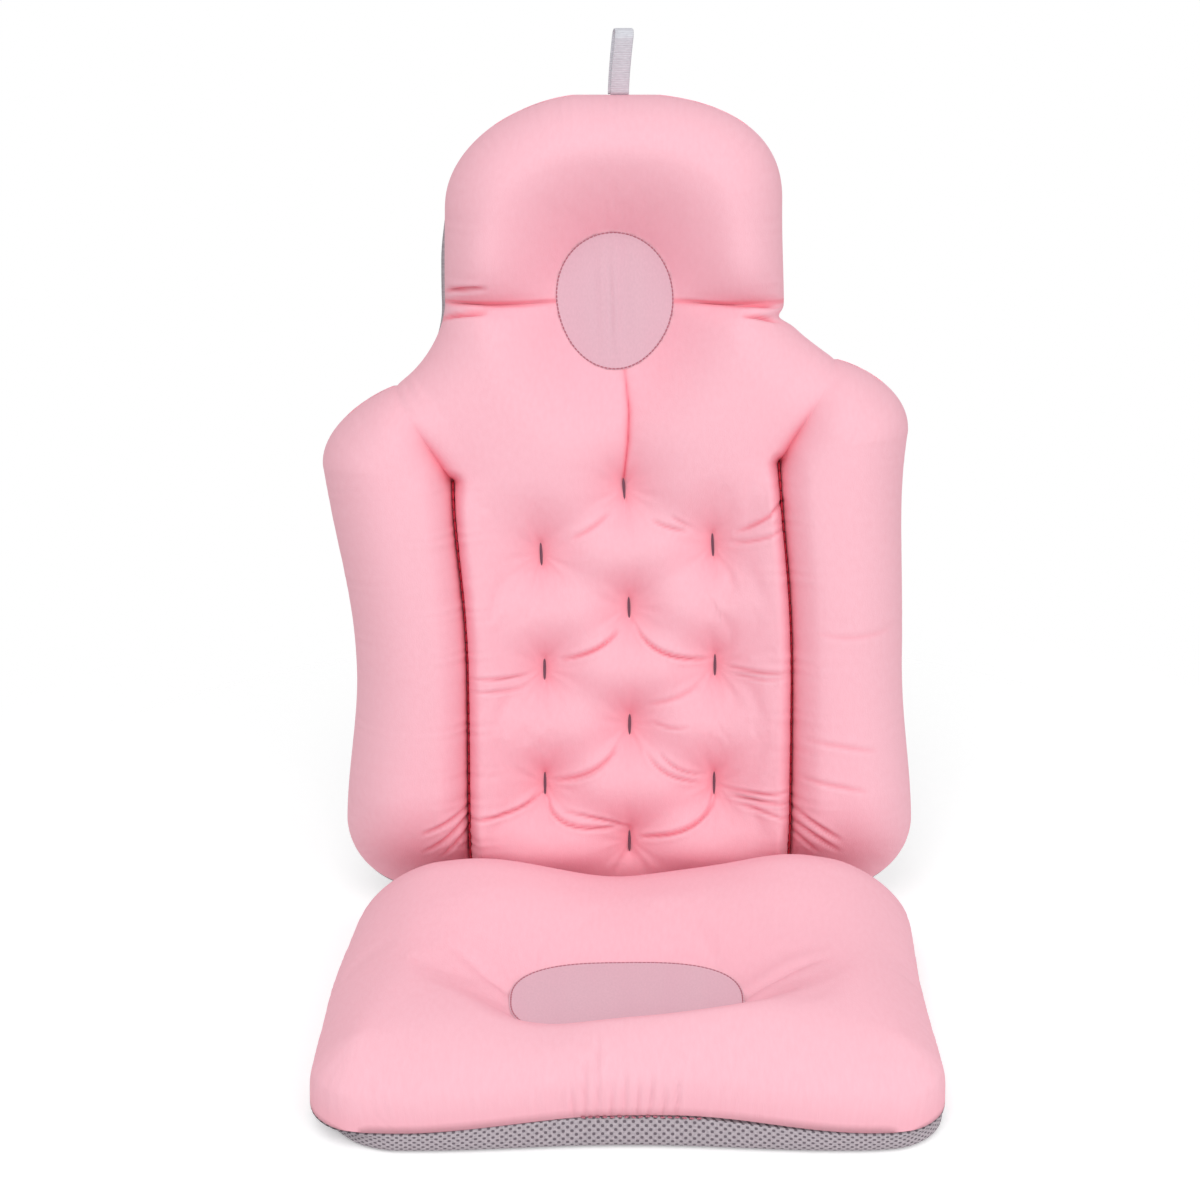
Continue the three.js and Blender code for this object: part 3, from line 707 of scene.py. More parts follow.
def upright_wrinkles(x, v):
    """Creases, puckers along the seams and the outline, and fine rays out of each tack; in millimetres."""
    fine = creased(x, v, UPRIGHT_CREASES)
    fine += 0.45 * puckers(x, v, [(-SEAM, 0), (-SEAM, SEAM_TOP)], 9, 12, 0.4)
    fine += 0.45 * puckers(x, v, [(SEAM, 0), (SEAM, SEAM_TOP)], 10, 12, 1.7)
    fine += 0.35 * puckers(np.abs(x), v, OUTLINE, 11, 12, 2.2)
    for number, tack in enumerate(TACKS):
        turn = np.arctan2(v - tack[1], x - tack[0])
        rays = np.sin(9 * turn + number) + 0.7 * np.sin(14 * turn + 2.3 * number)
        fine += 0.22 * rays * bell(tack_distance(x, v, tack), 12, 9)
    return fine


def seat_wrinkles(x, y):
    """Drag lines, gathers and small puckers round the seat's edge; in millimetres."""
    return creased(x, y, SEAT_PULLS + SEAT_GATHERS) + 0.3 * puckers(np.abs(x), y, SEAT_OUTLINE, 10, 12, 0.9)


def painted_crease_shade(x, v):
    """How far a place is down in a sewn seam or crease, from 0 to 1, as painted shade in the cloth's colour.
    """
    side = np.abs(x)
    beside = away(side, v, SIDE_SEAM)
    # Painted shade along the side seams: a dark line in the seam and a redder band beside it.
    sewn = np.maximum(0.62 * fading(beside, 0.8), 0.3 * fading(beside, 3.5))
    soft = 0.55 * fading(away(side, v, SHOULDER_CREASE), 3) * (1 - ease(v, SEAM_TOP, SHOULDER - 10))
    neck = 0.7 * fading(away(side, v, NECK_SEAM), 1.0)
    centre = 0.75 * fading(away(x, v, CENTRE_CREASE), 1.2) * (1 - 0.4 * ease(v, 305, 331))
    # Painted shade down each crease.
    lines = np.clip(-creased(x, v, UPRIGHT_CREASES) / 4.4, 0, 0.5)
    # Painted shade in the pit round each tack.
    pits = [0.3 * fading(np.hypot(x - tack[0], (v - tack[1]) / 1.8), 7) for tack in TACKS]
    return np.clip(np.maximum.reduce([sewn, soft, neck, centre, lines] + pits), 0, 1)


# Node materials


def linear(*srgb):
    """A colour seen as these sRGB levels, 0 to 255, as linear light with alpha."""
    level = np.array(srgb) / 255
    light = np.where(level <= 0.04045, level / 12.92, ((level + 0.055) / 1.055) ** 2.4)
    return (*[float(part) for part in light], 1.0)


class Nodes:
    """A new material's node tree, with short ways to add and join nodes."""

    def __init__(self, name, roughness, sheen=0.0, sheen_tint=(255, 255, 255)):
        self.material = bpy.data.materials.new(name)
        self.material.use_nodes = True
        self.tree = self.material.node_tree
        self.shader = self.tree.nodes["Principled BSDF"]
        self.shader.inputs["Roughness"].default_value = roughness
        self.shader.inputs["Specular IOR Level"].default_value = 0.15
        self.shader.inputs["Sheen Weight"].default_value = sheen
        self.shader.inputs["Sheen Roughness"].default_value = 0.5
        self.shader.inputs["Sheen Tint"].default_value = linear(*sheen_tint)

    def add(self, kind, **inputs):
        """A node with values or links at its named inputs."""
        node = self.tree.nodes.new(kind)
        for name, value in inputs.items():
            self.feed(node.inputs[name.replace("_", " ")], value)
        return node

    def feed(self, socket, value):
        """Links a socket's value, or sets a plain one."""
        if isinstance(value, bpy.types.NodeSocket):
            self.tree.links.new(value, socket)
        else:
            socket.default_value = value

    def math(self, operation, *values):
        node = self.tree.nodes.new("ShaderNodeMath")
        node.operation = operation
        for socket, value in zip(node.inputs, values):
            self.feed(socket, value)
        return node.outputs[0]

    def wave(self, operation, place, pitch):
        """A sine or cosine along a place, one turn in each pitch."""
        return self.math(operation, self.math("MULTIPLY", place, 2 * math.pi / pitch))

    def mix(self, share, one, other):
        """A colour between two, all the other at a share of 1."""
        node = self.tree.nodes.new("ShaderNodeMix")
        node.data_type = "RGBA"
        self.feed(node.inputs[0], share)
        self.feed(node.inputs[6], one)
        self.feed(node.inputs[7], other)
        return node.outputs[2]

    def cloth_place(self):
        node = self.add("ShaderNodeUVMap")
        node.uv_map = "cloth"
        return node.outputs["UV"]

    def cloth_axes(self):
        """Places across and along the flat cloth."""
        split = self.add("ShaderNodeSeparateXYZ", Vector=self.cloth_place())
        return split.outputs[0], split.outputs[1]

    def noted(self, name):
        """A number kept at each vertex."""
        node = self.add("ShaderNodeAttribute")
        node.attribute_name = name
        return node.outputs["Fac"]

    def noise(self, scale, detail, stretch=(1, 1, 1)):
        place = self.add("ShaderNodeMapping", Vector=self.cloth_place(), Scale=stretch).outputs[0]
        return self.add("ShaderNodeTexNoise", Vector=place, Scale=scale, Detail=detail).outputs["Fac"]

    def level(self, value, low, high):
        """The value mapped so that low gives 0 and high gives 1."""
        node = self.add("ShaderNodeMapRange", Value=value)
        node.inputs["From Min"].default_value = low
        node.inputs["From Max"].default_value = high
        return node.outputs[0]

    def bump(self, height, distance, strength=1.0):
        node = self.add("ShaderNodeBump", Height=height, Distance=distance, Strength=strength)
        self.feed(self.shader.inputs["Normal"], node.outputs[0])

    def colour(self, value):
        self.feed(self.shader.inputs["Base Color"], value)


def jersey_material():
    """Brushed stretch jersey: fine vertical knit and faint marl, with painted shade, a deeper red, down in
    the folds.
    """
    cloth = Nodes("pink_jersey", 0.9, 0.06, (255, 225, 232))
    marl = cloth.level(cloth.noise(420, 3, (1, 0.5, 1)), 0.3, 0.7)
    shade = cloth.mix(marl, linear(250, 188, 201), linear(252, 193, 206))
    patchy = cloth.level(cloth.noise(14, 2), 0.35, 0.65)
    shade = cloth.mix(cloth.math("MULTIPLY", patchy, 0.3), shade, linear(253, 195, 208))
    # Painted shade: the fold values mix the jersey towards a deeper pink, then a dark red, down in seams,
    # creases and round the tacks.
    depth = cloth.noted("fold")
    shade = cloth.mix(cloth.level(depth, 0.0, 0.5), shade, linear(247, 140, 156))
    cloth.colour(cloth.mix(cloth.level(depth, 0.45, 0.95), shade, linear(205, 70, 88)))
    cloth.bump(cloth.noise(1500, 2, (1, 0.5, 1)), 0.0004, 0.35)
    return cloth.material


def patch_material():
    """Plain woven mauve cloth with faint streaks."""
    cloth = Nodes("mauve_patch", 0.85, 0.2, (240, 220, 230))
    weave = cloth.level(cloth.noise(900, 2, (1, 0.5, 1)), 0.3, 0.7)
    shade = cloth.mix(weave, linear(222, 183, 195), linear(228, 189, 201))
    streak = cloth.level(cloth.noise(60, 2, (1, 0.12, 1)), 0.35, 0.7)
    cloth.colour(cloth.mix(cloth.math("MULTIPLY", streak, 0.3), shade, linear(224, 178, 193)))
    cloth.bump(cloth.noise(1300, 2), 0.0002, 0.3)
    return cloth.material


HOLE_PITCH_ACROSS = 0.0047
HOLE_PITCH_ALONG = 0.0040


def mesh_material():
    """Grey air mesh: staggered diamond holes where two waves' product is high, closed up along a hem; the
    holes are painted dark as the shade down inside them.
    """
    cloth = Nodes("grey_air_mesh", 0.9, 0.15)
    across, along = cloth.cloth_axes()
    across = cloth.wave("COSINE", across, HOLE_PITCH_ACROSS)
    along = cloth.wave("COSINE", along, HOLE_PITCH_ALONG)
    open_mesh = cloth.math("SUBTRACT", cloth.math("MULTIPLY", across, along), cloth.noted("fold"))
    hole = cloth.level(open_mesh, 0.15, 0.6)
    yarn = cloth.level(cloth.noise(700, 3), 0.3, 0.7)
    thread = cloth.mix(yarn, linear(168, 158, 165), linear(196, 186, 192))
    # The hole pattern is the mesh's own; its dark grey is painted shade down in the holes.
    cloth.colour(cloth.mix(hole, thread, linear(112, 102, 110)))
    cloth.bump(cloth.math("SUBTRACT", 1.0, hole), 0.0008, 0.5)
    return cloth.material


def thread_material(name, dark, light):
    """Twisted sewing thread: slanting strands."""
    cloth = Nodes(name, 0.7)
    slant = cloth.math("ADD", *cloth.cloth_axes())
    twist = cloth.level(cloth.wave("SINE", slant, 0.0012), -1.0, 1.0)
    cloth.colour(cloth.mix(twist, linear(*dark), linear(*light)))
    cloth.bump(twist, 0.0002, 0.6)
    return cloth.material


def ribbon_material():
    """Woven tape: ribs across it and a faint selvedge grain."""
    cloth = Nodes("grey_ribbon", 0.65, 0.1)
    ribs = cloth.level(cloth.wave("SINE", cloth.cloth_axes()[1], 0.0011), -1.0, 1.0)
    grain = cloth.level(cloth.noise(900, 2, (0.3, 1, 1)), 0.3, 0.7)
    shade = cloth.mix(grain, linear(208, 209, 216), linear(226, 228, 234))
    cloth.colour(cloth.mix(cloth.math("MULTIPLY", ribs, 0.25), shade, linear(180, 168, 182)))
    cloth.bump(ribs, 0.0003, 0.5)
    return cloth.material


JERSEY = jersey_material()
PATCH = patch_material()
AIR_MESH = mesh_material()
DARK_THREAD = thread_material("dark_thread", (96, 66, 80), (140, 106, 120))
SEAM_THREAD = thread_material("seam_thread", (196, 112, 128), (222, 146, 160))
SIDE_THREAD = thread_material("side_thread", (196, 46, 68), (214, 66, 88))
EDGE_THREAD = thread_material("edge_thread", (172, 98, 114), (200, 130, 144))
RIBBON = ribbon_material()


def dress(obj, material):
    """Gives a piece its material."""
    obj.data.materials.append(material)
    return obj


# Jersey fronts

ROLL_COLUMNS = 26
PANEL_COLUMNS = 104
BOLSTER_TURN = math.asin((BOLSTER_TOP - CHEST) / (SHOULDER - CHEST))


def upright_rows():
    """Rows of the upright from foot to head: closer where an outline turns."""
    head_turn = HEAD_TIP - HEAD_ROUND + 10
    return np.concatenate([
        np.linspace(BACK_FOOT, BOLSTER_FOOT, 4)[:-1],
        BOLSTER_FOOT + FOOT_CORNER * (1 - np.cos(np.linspace(0, np.pi / 2, 26)))[:-1],
        np.linspace(BOLSTER_FOOT + FOOT_CORNER, CHEST, 82)[:-1],
        CHEST + (SHOULDER - CHEST) * np.sin(np.linspace(0, BOLSTER_TURN, 15))[:-1],
        np.linspace(BOLSTER_TOP, head_turn, 43)[:-1],
        head_turn + (HEAD_TOP - head_turn) * np.sin(np.linspace(0, np.pi / 2, 22)),
    ])


ROWS = upright_rows()
FIRST_ROLL = int(np.argmin(np.abs(ROWS - BOLSTER_FOOT)))
LAST_ROLL = int(np.argmin(np.abs(ROWS - BOLSTER_TOP)))


def sewn_upright(x, v, rolls, on_roll):
    """Which places of the upright's sheet are held: outline, seams, neck crease, patch and tacks."""
    side = np.abs(x)
    sewn = away(side, v, OUTLINE) < 0.8
    sewn |= away(side, v, SIDE_SEAM) < 0.8
    sewn |= away(side, v, NECK_SEAM) < 1.8
    sewn |= nape_ring(x, v) < 1.03
    sewn |= on_roll[None] & ~rolls[:, None]
    sewn[[FIRST_ROLL, LAST_ROLL]] |= on_roll
    sewn[[0, -1]] = True
    sewn[:, [0, -1]] = True
    for tack in TACKS:
        sewn |= tack_distance(x, v, tack) < 2.3
    return sewn


def upright_sheet():
    """Back, head and both bolsters as one grid of jersey; the outer columns only count along the bolsters."""
    row = np.arange(len(ROWS))
    rolls = (row >= FIRST_ROLL) & (row <= LAST_ROLL)
    inner = panel_half(ROWS)
    reach = np.where(rolls, bolster_outer(np.clip(ROWS, BOLSTER_FOOT, SHOULDER)), inner)
    middle = plan(ROWS, tacked_columns(PANEL_COLUMNS), lambda v: -inner, lambda v: inner)[0]
    right = inner[:, None] + (reach - inner)[:, None] * even_ends(ROLL_COLUMNS)[1:]
    x = np.concatenate([-right[:, ::-1], middle, right], 1)
    v = np.repeat(ROWS[:, None], x.shape[1], 1)
    column = np.arange(x.shape[1])
    on_roll = (column < ROLL_COLUMNS) | (column > ROLL_COLUMNS + PANEL_COLUMNS)
    return {
        "x": x,
        "v": v,
        "front": upright(x, v, upright_height(x, v)),
        "sewn": sewn_upright(x, v, rolls, on_roll),
        "cloth": ~(on_roll[:-1] | on_roll[1:])[None] | (rolls[:-1] & rolls[1:])[:, None],
        "slack": 0.4 + 0.6 * (1 - ease(v, 262, 300)) * (1 - ease(np.abs(x), 94, 106)),
    }


def upright_blocks(sheet):
    """The settled sheet cut into its three pieces, with twice the detail."""
    along = slice(FIRST_ROLL, LAST_ROLL + 1)
    cuts = {
        "left_bolster_front": (along, slice(0, ROLL_COLUMNS + 1)),
        "pillow_front": (slice(None), slice(ROLL_COLUMNS, ROLL_COLUMNS + PANEL_COLUMNS + 1)),
        "right_bolster_front": (along, slice(ROLL_COLUMNS + PANEL_COLUMNS, None)),
    }
    return {name: [refined(sheet[key][cut]) for key in ("x", "v", "front")] for name, cut in cuts.items()}


def shared_normals(blocks):
    """Normals of the three pieces, made alike where the cloth runs on over the shoulder creases."""
    facing = {name: normals(block[2]) for name, block in blocks.items()}
    along = slice(2 * FIRST_ROLL, 2 * LAST_ROLL + 1)
    for name, edge, panel_edge in (("left_bolster_front", -1, 0), ("right_bolster_front", 0, -1)):
        on_crease = blocks[name][1][:, edge] > SEAM_TOP
        both = facing[name][:, edge] + facing["pillow_front"][along, panel_edge]
        both /= np.linalg.norm(both, axis=-1, keepdims=True)
        facing[name][on_crease, edge] = both[on_crease]
        facing["pillow_front"][along, panel_edge][on_crease] = both[on_crease]
    return facing


def open_seams(name, x, v, front):
    """Keeps the cushions on either side of a side seam a stitch apart, so that it shows as a thin line."""
    side = np.sign(x)
    uneven = 1 - ease(v, 40, 80)
    gap = SEAM_GAP * (1 + 0.5 * uneven * waver(v, 7, 0.7)) * (1 - ease(v, SEAM_TOP - 20, SEAM_TOP))
    gap = gap * np.clip(np.abs(np.abs(x) - SEAM), 0, 1)
    middle = SEAM + 0.9 * uneven * waver(v, 9, 0.2)
    reach = side * (front[..., 0] / MM - slump(x, v))
    kept = np.minimum(reach, middle - gap) if name == "pillow_front" else np.maximum(reach, middle + gap)
    front[..., 0] = np.where(v < SEAM_TOP, side * kept + slump(x, v), front[..., 0] / MM) * MM


def finish_upright(sheet):
    """The three closed jersey pieces of the upright, with their creases and wrinkles."""
    blocks = upright_blocks(sheet)
    for name, facing in shared_normals(blocks).items():
        x, v, front = blocks[name]
        loose = np.clip(away(np.abs(x), v, OUTLINE) / 4, 0, 1)
        blocks[name][2] = front + facing * (upright_wrinkles(x, v) * loose * MM)[..., None]
        open_seams(name, x, v, blocks[name][2])
    made = {}
    for name, facing in shared_normals(blocks).items():
        x, v, front = blocks[name]
        lid = upright(x, v, -0.3)
        obj = closed_panel(name, front, lid, laid_flat(x, v), painted_crease_shade(x, v), facing)
        made[name] = dress(obj, JERSEY)
    return made


def seat_panel():
    """The seat's top as one grid of jersey, held at its edge and under the patch."""
    rows = -SEAT_END + 2 * SEAT_END * even_ends(76)
    x, y = plan(rows, even_ends(150), lambda y: -seat_half(y), seat_half)
    sewn = seat_ring(x, y) < 1.02
    sewn[[0, -1]] = True
    sewn[:, [0, -1]] = True
    return {
        "x": x,
        "v": y,
        "front": seat_place(*overhang(x, y), seat_height(x, y)),
        "sewn": sewn,
        "cloth": np.ones((x.shape[0] - 1, x.shape[1] - 1), bool),
        "slack": np.full(x.shape, 0.5),
    }


def finish_seat(panel):
    """The closed jersey top of the seat, with its creases and wrinkles."""
    x, y, front = [refined(panel[key]) for key in ("x", "v", "front")]
    loose = np.ones(x.shape)
    loose[[0, -1]] = 0
    loose[:, [0, -1]] = 0
    front = front + normals(front) * (seat_wrinkles(x, y) * loose * MM)[..., None]
    # Painted shade: the jersey a little deeper pink along the seam at the seat's edge.
    rim = 0.1 * fading(away(np.abs(x), y, SEAT_OUTLINE), 1.5)
    lid = seat_place(0.96 * x, 0.96 * y, seat_seam(0 * x, y) + 1)
    obj = closed_panel("seat_top", front, lid, laid_flat(x, y), rim)
    return dress(obj, JERSEY)


sheet = upright_sheet()
seat = seat_panel()
settle([sheet, seat])
fronts = finish_upright(sheet)
pillow_front = fronts["pillow_front"]
left_bolster_front = fronts["left_bolster_front"]
right_bolster_front = fronts["right_bolster_front"]
seat_top = finish_seat(seat)

# Air-mesh rears


def rear_half(v):
    """Half the width of the mesh behind back and head: a little inside the front's outline."""
    return panel_half(v) - REAR_INSET * ease(v, SEAM_TOP, SHOULDER)


def rear_outer(v):
    """Outer edge of the mesh behind a bolster: as far inside, and never in past the seam."""
    return np.maximum(bolster_outer(v + REAR_INSET) - REAR_INSET, seam_line(v) + 0.1)


def rear_panel(name, rows, shares, left, right, bulge):
    """Air mesh behind the upright: flat, hemmed thin at its edges and drawn in at the tacks."""
    x, v = plan(rows, shares, left, right)
    edge = np.minimum(x - left(v), right(v) - x)
    edge = np.minimum(edge, np.minimum(v - rows[0], rows[-1] - v))
    depth = 0.8 + 4.4 * slope(edge, 14)
    for tack in TACKS:
        depth = depth * (1 - 0.6 * bell(tack_distance(x, v, tack), 0, 12))
    hem = fading(edge, 6)
    out = bulge * ease(v, 340, 374) * (1 - ease(v, 396, 440)) * hem
    rear = upright(x - out, v, -depth)[:, ::-1]
    lid = upright(x, v, -0.4)[:, ::-1]
    obj = closed_panel(name, rear, lid, laid_flat(x, v)[:, ::-1], hem[:, ::-1])
    return dress(obj, AIR_MESH)


ROLL_ROWS = ROWS[FIRST_ROLL:LAST_ROLL + 1]
ROLL_ROWS = ROLL_ROWS[ROLL_ROWS < SHOULDER - 2 * REAR_INSET]
pillow_rear = rear_panel("pillow_rear", ROWS, even_ends(60), lambda v: -rear_half(v), rear_half, 3.4)
left_bolster_rear = rear_panel(
    "left_bolster_rear", ROLL_ROWS, even_ends(24), lambda v: -rear_outer(v), lambda v: -seam_line(v), 0.0
)
right_bolster_rear = rear_panel("right_bolster_rear", ROLL_ROWS, even_ends(24), seam_line, rear_outer, 0.0)


def ring_places(count):
    """Points round the seat's outline from the middle of its rear, and the length passed at each."""
    half = np.array(SEAT_OUTLINE)[::-1] * [-1, 1]
    loop = np.concatenate([half, half[-2:0:-1] * [-1, 1], half[:1]])
    passed = np.concatenate([[0], np.cumsum(np.hypot(*np.diff(loop, axis=0).T))])
    at = np.linspace(0, passed[-1], count, endpoint=False)
    return np.stack([np.interp(at, passed, loop[:, 0]), np.interp(at, passed, loop[:, 1])], -1), at


def seat_underside():
    """Air-mesh tray: from the seam down a rounded rim to a flat base, in rings round the outline."""
    outline, passed = ring_places(420)
    along = np.roll(outline, -1, 0) - np.roll(outline, 1, 0)
    inward = np.stack([-along[:, 1], along[:, 0]], -1) / np.hypot(*along.T)[:, None]
    turn = np.linspace(0, 1, 15)[:-1]
    inset = np.concatenate([-1.2 * np.sin(np.pi * turn) + 9 * turn**4, [9.0, 15.0, 30.0]])
    drop = np.concatenate([np.sin(turn * np.pi / 2), [1.0, 1.0, 1.0]])
    under = np.where(outline[:, 0] < 0, 10, 2) * ease(np.abs(outline[:, 0]), 125, 165)
    tucked = inset[:, None] + under * ease(drop, 0, 0.3)[:, None]
    ring = outline[None] + inward[None] * tucked[..., None]
    seam = seat_seam(outline[:, 0], outline[:, 1])[None] + 0.3
    points = seat_place(ring[..., 0], ring[..., 1], seam * (1 - drop[:, None]))
    down = np.concatenate([[0], np.cumsum(np.hypot(np.diff(inset), np.diff(drop * 17)))])
    uv = laid_flat(passed[None], down[:, None])
    obj = mesh_object("seat_underside", points, tube_faces(*points.shape[:2]), uv)
    return dress(obj, AIR_MESH)


seat_base = seat_underside()

# Patches


def disc_patch(name, place):
    """A sewn oval: rings from its middle to its edge, laid on the cushion by the place function."""
    turn = np.linspace(0, 2 * np.pi, 97)[:-1]
    rings = np.linspace(0.04, 1, 26)[:, None]
    points, flat = place(rings * np.cos(turn), rings * np.sin(turn))
    middle_closed = tube_faces(*points.shape[:2])[:-1]
    obj = mesh_object(name, points, middle_closed, flat)
    return dress(obj, PATCH)


def nape_place(across, up):
    """Places on the nape patch: over the neck crease, with soft upright pleats; then the same laid flat."""
    x = NAPE_X * (1 + NAPE_WIDENING * up) * across
    v = NECK + NAPE_V * up
    pleat = 0.7 * (1 + waver(x, 13, 0.6)) * (1 - across**2 - up**2)
    return upright(x, v, upright_height(x, v) + PATCH_LIFT + pleat), laid_flat(x, v)


def seat_patch_place(across, up):
    """Places on the seat patch: a round disc pushed out to the flattened oval; then the same laid flat."""
    push = np.hypot(across, up) / np.maximum(squared_ring(across, up), 1e-9)
    x = SEAT_PATCH_X * across * push
    y = SEAT_PATCH_AT + SEAT_PATCH_Y * up * push
    return seat_place(x, y, seat_height(x, y) + PATCH_LIFT), laid_flat(x, y)


nape_patch = disc_patch("nape_patch", nape_place)
seat_patch = disc_patch("seat_patch_cloth", seat_patch_place)

# Stitching

OUT_OF_BACK = (0.0, -math.cos(LEAN), math.sin(LEAN))
UP = (0.0, 0.0, 1.0)
FORWARD = (0.0, -1.0, 0.0)


def stitches(name, path, out, stitch):
    """A row of short stitches along a path, each a closed spindle; out is the way out of the cloth."""
    length, radius, gap = np.array(stitch) * MM
    passed = np.concatenate([[0], np.cumsum(np.linalg.norm(np.diff(path, axis=0), axis=1))])
    count = max(1, int(passed[-1] / (length + gap)))
    start = (np.arange(count) + 0.5) * passed[-1] / count - length / 2
    along = (1 - np.cos(np.linspace(0, np.pi, 9))) / 2
    at = start[:, None] + length * along
    centre = np.stack([np.interp(at, passed, path[:, k]) for k in range(3)], -1)
    ahead = np.gradient(centre, axis=1)
    ahead /= np.linalg.norm(ahead, axis=-1, keepdims=True)
    aside = np.cross(ahead, out)
    aside /= np.linalg.norm(aside, axis=-1, keepdims=True)
    lift = np.cross(aside, ahead)
    swell = radius * np.sqrt(np.maximum(0.06, 1 - (2 * along - 1) ** 4))[None, :, None, None]
    turn = np.linspace(0, 2 * np.pi, 9)[:-1]
    ring = np.cos(turn)[:, None] * aside[..., None, :] + np.sin(turn)[:, None] * lift[..., None, :]
    points = centre[..., None, :] + swell * ring
    index = np.arange(points[..., 0].size).reshape(points.shape[:3])
    after = np.roll(index, -1, 2)
    faces = np.stack([index[:, :-1], after[:, :-1], after[:, 1:], index[:, 1:]], -1).reshape(-1, 4).tolist()
    faces += index[:, 0, ::-1].tolist() + index[:, -1].tolist()
    uv = np.stack(np.broadcast_arrays(at[:, :, None], radius * turn), -1)
    return mesh_object(name, points, faces, uv)


def bar_tacks():
    """Each tack as one slim bar of close stitching, level along the middle of its pit."""
    bars = []
    for x, v in TACKS:
        along = v + TACK_LENGTH * np.linspace(-0.5, 0.5, 25)
        path = upright(np.full(25, x), along, upright_height(x, v) + 0.9)
        bars.append(stitches("bar", path, OUT_OF_BACK, TACK_STITCH))
    return bars


def joined(name, objects):
    """Several loose meshes as one object."""
    with bpy.context.temp_override(active_object=objects[0], selected_editable_objects=objects):
        bpy.ops.object.join()
    objects[0].name = name
    return objects[0]


def side_seam(name, sign):
    """Stitches up a side seam, down between the two cushions."""
    x = np.full(60, sign * SEAM)
    v = np.linspace(BOLSTER_FOOT, SEAM_TOP, 60)
    path = upright(x, v, upright_height(x - 1.2 * sign, v) - 1.3)
    return dress(stitches(name, path, OUT_OF_BACK, SIDE_STITCH), SIDE_THREAD)


def neck_seam(name, sign):
    """Stitches along the neck crease, from the patch to the side."""
    x = sign * np.linspace(NAPE_X + 2, NECK_X - 3, 60)
    v = np.full(60, NECK)
    path = upright(x, v, upright_height(x, v) - 2.6)
    return dress(stitches(name, path, OUT_OF_BACK, NECK_STITCH), SEAM_THREAD)


def edge_stitches(name, place, out):
    """Small stitches that hold a patch's edge."""
    turn = np.linspace(0, 2 * np.pi, 400)
    path = place(0.985 * np.cos(turn), 0.985 * np.sin(turn))[0]
    return dress(stitches(name, path, out, EDGE_STITCH), EDGE_THREAD)


def gather_stitches():
    """Short stitches that show along the seam under the gathers of the seat's front."""
    x = np.linspace(-26, 40, 60)
    level = seat_seam(x, -SEAT_END) + 0.9 + 0.5 * waver(x, 9, 0.4)
    path = seat_place(x, np.full(60, -SEAT_END - 0.5), level)
    return dress(stitches("seat_front_stitches", path, FORWARD, GATHER_STITCH), EDGE_THREAD)


tack_bars = dress(joined("bar_tacks", bar_tacks()), DARK_THREAD)
left_side_stitches = side_seam("left_side_stitches", -1)
right_side_stitches = side_seam("right_side_stitches", 1)
left_neck_stitches = neck_seam("left_neck_stitches", -1)
right_neck_stitches = neck_seam("right_neck_stitches", 1)
nape_stitches = edge_stitches("nape_stitches", nape_place, OUT_OF_BACK)
seat_patch_stitches = edge_stitches("seat_patch_stitches", seat_patch_place, UP)
seat_front_stitches = gather_stitches()

# Hanging loop


def hanging_loop():
    """A ribbon folded over: up its front, round the top and down behind, leaning a little to one side."""
    rise = np.linspace(0, 1, 18)
    bend = np.linspace(0, np.pi, 17)[1:-1]
    opening = LOOP_ROOT + (LOOP_RADIUS - LOOP_ROOT) * rise**1.2
    depth = np.concatenate([-opening, -LOOP_RADIUS * np.cos(bend), opening[::-1]])
    side = (LOOP_HEIGHT - LOOP_RADIUS) * rise
    level = np.concatenate([side, side[-1] + LOOP_RADIUS * np.sin(bend), side[::-1]])
    behind = np.concatenate([np.zeros(18), ease(bend, 0, np.pi), np.ones(18)])
    aside = 3.5 + 3 * (level / LOOP_HEIGHT) ** 1.5 - 1.4 * behind
    ahead = np.gradient(depth), np.gradient(level)
    out = np.stack([-ahead[1], ahead[0]], -1) / np.hypot(*ahead)[:, None]
    across = np.array([-1.0, -0.9, 0.9, 1.0, 0.9, -0.9]) * RIBBON_HALF
    over = np.array([0.0, 1.0, 1.0, 0.0, -1.0, -1.0]) * RIBBON_THICK
    root = upright(0.0, HEAD_TOP + 0.3, 0.0) / MM
    x = root[0] + aside[:, None] + across
    y = root[1] + depth[:, None] + out[:, :1] * over
    z = root[2] + level[:, None] + out[:, 1:] * over
    passed = np.concatenate([[0], np.cumsum(np.hypot(np.diff(depth), np.diff(level)))])
    uv = laid_flat(across[None], passed[:, None])
    obj = mesh_object("ribbon_loop", places(x, y, z), tube_faces(len(level), len(across)), uv)
    return dress(obj, RIBBON)


ribbon_loop = hanging_loop()

# Rolled seam on which seat and back fold


def rolled_seam():
    """A round roll of jersey along the fold, its radius a little uneven."""
    x = np.linspace(-119, 119, 120)[:, None]
    turn = np.linspace(0, 2 * np.pi, 17)[:-1]
    radius = 2.5 + 0.25 * waver(x, 8, 0.3)
    points = places(x, FOLD_Y + radius * np.cos(turn), FOLD_Z + radius * np.sin(turn))
    faces = [face[::-1] for face in tube_faces(*points.shape[:2])]
    obj = mesh_object("rolled_seam", points, faces, laid_flat(x, 2.5 * turn))
    # Painted shade: the roll lies down in the fold and gets some of the jersey's deeper crease pink.
    note(obj, "fold", np.full(points.shape[:2], 0.2))
    return dress(obj, JERSEY)


fold_roll = rolled_seam()

# What each piece moves with and stands for


def plan_point(x, v):
    """One place in the upright's plane as a point."""
    return tuple(upright(x, v, 0.0).tolist())


